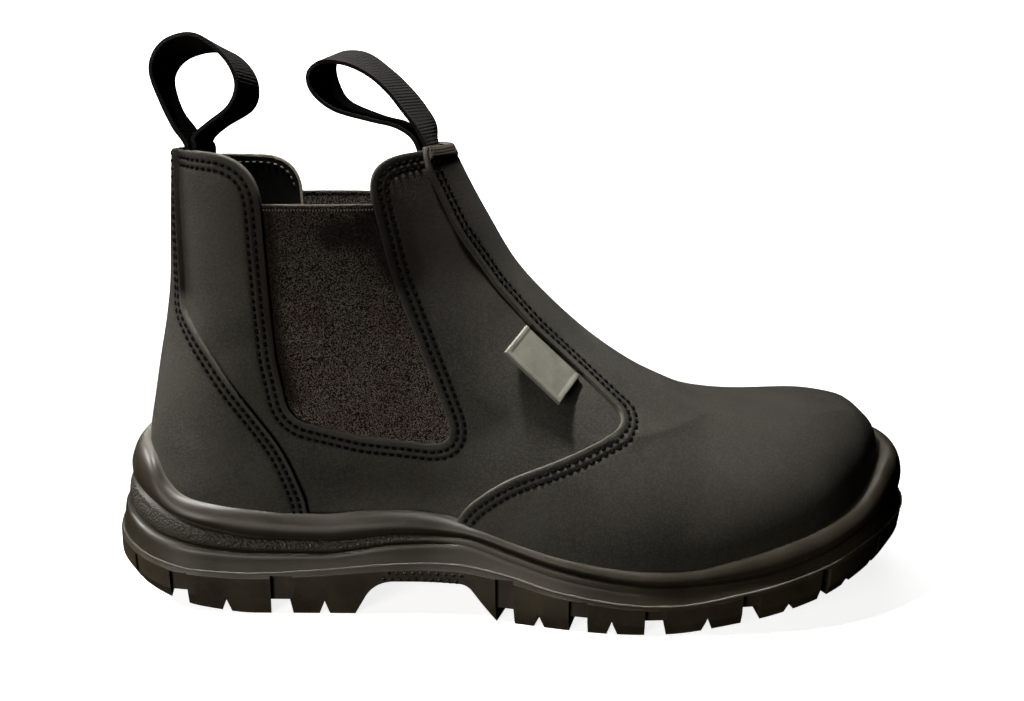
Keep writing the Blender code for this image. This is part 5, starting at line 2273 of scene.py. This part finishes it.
@dataclass
class Studio:
    """White sweep, soft lights and the camera, in metres."""

    camera_place: Place = (-0.00155, -0.3769, 0.1941)
    camera_tilt: float = 74.30
    lens: float = 36.51
    sensor: float = 36.0
    lights: tuple[Light, ...] = (
        Light("key", (-0.12, -0.015, 0.52), (0.02, -0.02, 0.08), 0.04, 0.70, (1.0, 0.985, 0.95), 60.0),
        Light("heel_fill", (-0.42, -0.62, 0.15), (-0.05, -0.02, 0.04), 0.30, 2.6, (1.0, 0.95, 0.86)),
        Light("heel_edge", (-0.50, -0.05, 0.47), (-0.09, -0.03, 0.04), 0.14, 0.130, (1.0, 0.98, 0.95), 24.0),
        Light("backdrop", (0.0, 1.4, 1.9), (0.0, 3.0, 0.5), 1.6, 130.0, (1.0, 1.0, 1.0)),
    )
    white: Colour = (1.0, 1.0, 1.0)
    surround: float = 0.90
    floor_tone: Colour = (0.92, 0.92, 0.92)
    floor_rough: float = 0.9
    floor_glow: float = 0.84
    sweep_front: float = -4.0
    sweep_back: float = 2.2
    sweep_radius: float = 0.8
    sweep_top: float = 4.0
    sweep_half: float = 5.0
    sweep_steps: int = 24

    def build(self) -> None:
        """Set up the camera, the lights, the sweep and what lies round it."""
        self.build_camera()
        for light in self.lights:
            self.build_light(light)
        self.build_sweep()
        self.build_world()

    def build_world(self) -> None:
        """White surround that the camera sees and the boot does not mirror."""
        bpy.context.scene.view_settings.view_transform = "Standard"
        world = bpy.data.worlds.new("studio")
        bpy.context.scene.world = world
        world.use_nodes = True
        background = world.node_tree.nodes["Background"]
        background.inputs["Color"].default_value = (*self.white, 1.0)
        background.inputs["Strength"].default_value = self.surround
        world.cycles_visibility.diffuse = False
        world.cycles_visibility.glossy = False

    def build_camera(self) -> None:
        """The camera at the photo's angle."""
        data = bpy.data.cameras.new("camera")
        data.lens, data.sensor_width = self.lens, self.sensor
        camera = bpy.data.objects.new("camera", data)
        camera.location = self.camera_place
        camera.rotation_euler = (math.radians(self.camera_tilt), 0.0, 0.0)
        bpy.context.scene.collection.objects.link(camera)
        bpy.context.scene.camera = camera

    def build_light(self, light: Light) -> None:
        """Set up one area light.

        Args:
            light: Its place, aim and strength.
        """
        data = bpy.data.lights.new(light.name, "AREA")
        data.size, data.energy, data.color = light.size, light.power, light.colour
        data.spread = math.radians(light.spread)
        item = bpy.data.objects.new(light.name, data)
        item.location = light.place
        x, y, z = np.array(light.aim) - np.array(light.place)
        item.rotation_euler = (math.atan2(math.hypot(x, y), -z), 0.0, math.atan2(-x, y))
        bpy.context.scene.collection.objects.link(item)

    def build_sweep(self) -> None:
        """Pale floor that curves up into a backdrop."""
        bend = np.linspace(0, math.pi / 2, self.sweep_steps)
        radius, back = self.sweep_radius, self.sweep_back
        y = np.concatenate([[self.sweep_front], back + radius * np.sin(bend), [back + radius]])
        z = np.concatenate([[0.0], radius * (1 - np.cos(bend)), [self.sweep_top]])
        sides = [np.stack([np.full_like(y, x), y, z], axis=-1) for x in (-self.sweep_half, self.sweep_half)]
        faces = [[2 * k, 2 * k + 1, 2 * k + 3, 2 * k + 2] for k in range(len(y) - 1)]
        mesh = bpy.data.meshes.new("floor")
        mesh.from_pydata(np.stack(sides, axis=1).reshape(-1, 3), [], faces)
        mesh.polygons.foreach_set("use_smooth", np.ones(len(faces), bool))
        look = Look("floor", Roughness=self.floor_rough, Specular_IOR_Level=0.0, Base_Color=self.floor_tone)
        look.wear("Emission Color", self.white)
        look.wear("Emission Strength", self.floor_glow)
        mesh.materials.append(look.material)
        floor = bpy.data.objects.new("floor", mesh)
        bpy.context.scene.collection.objects.link(floor)
        floor.visible_diffuse = False
        floor.visible_glossy = False


def main() -> None:
    """Build the boot's looks and the studio round it."""
    logging.basicConfig(level=logging.INFO, format="%(message)s")
    looks = Looks()
    Upper(looks).build()
    PullLoop(looks, "pull_loop_rear", REAR_STRAP).build()
    PullLoop(looks, "pull_loop_front", FRONT_STRAP).build()
    SideTag(looks).build()
    Sole(looks).build()
    Studio().build()


if __name__ == "__main__":
    main()
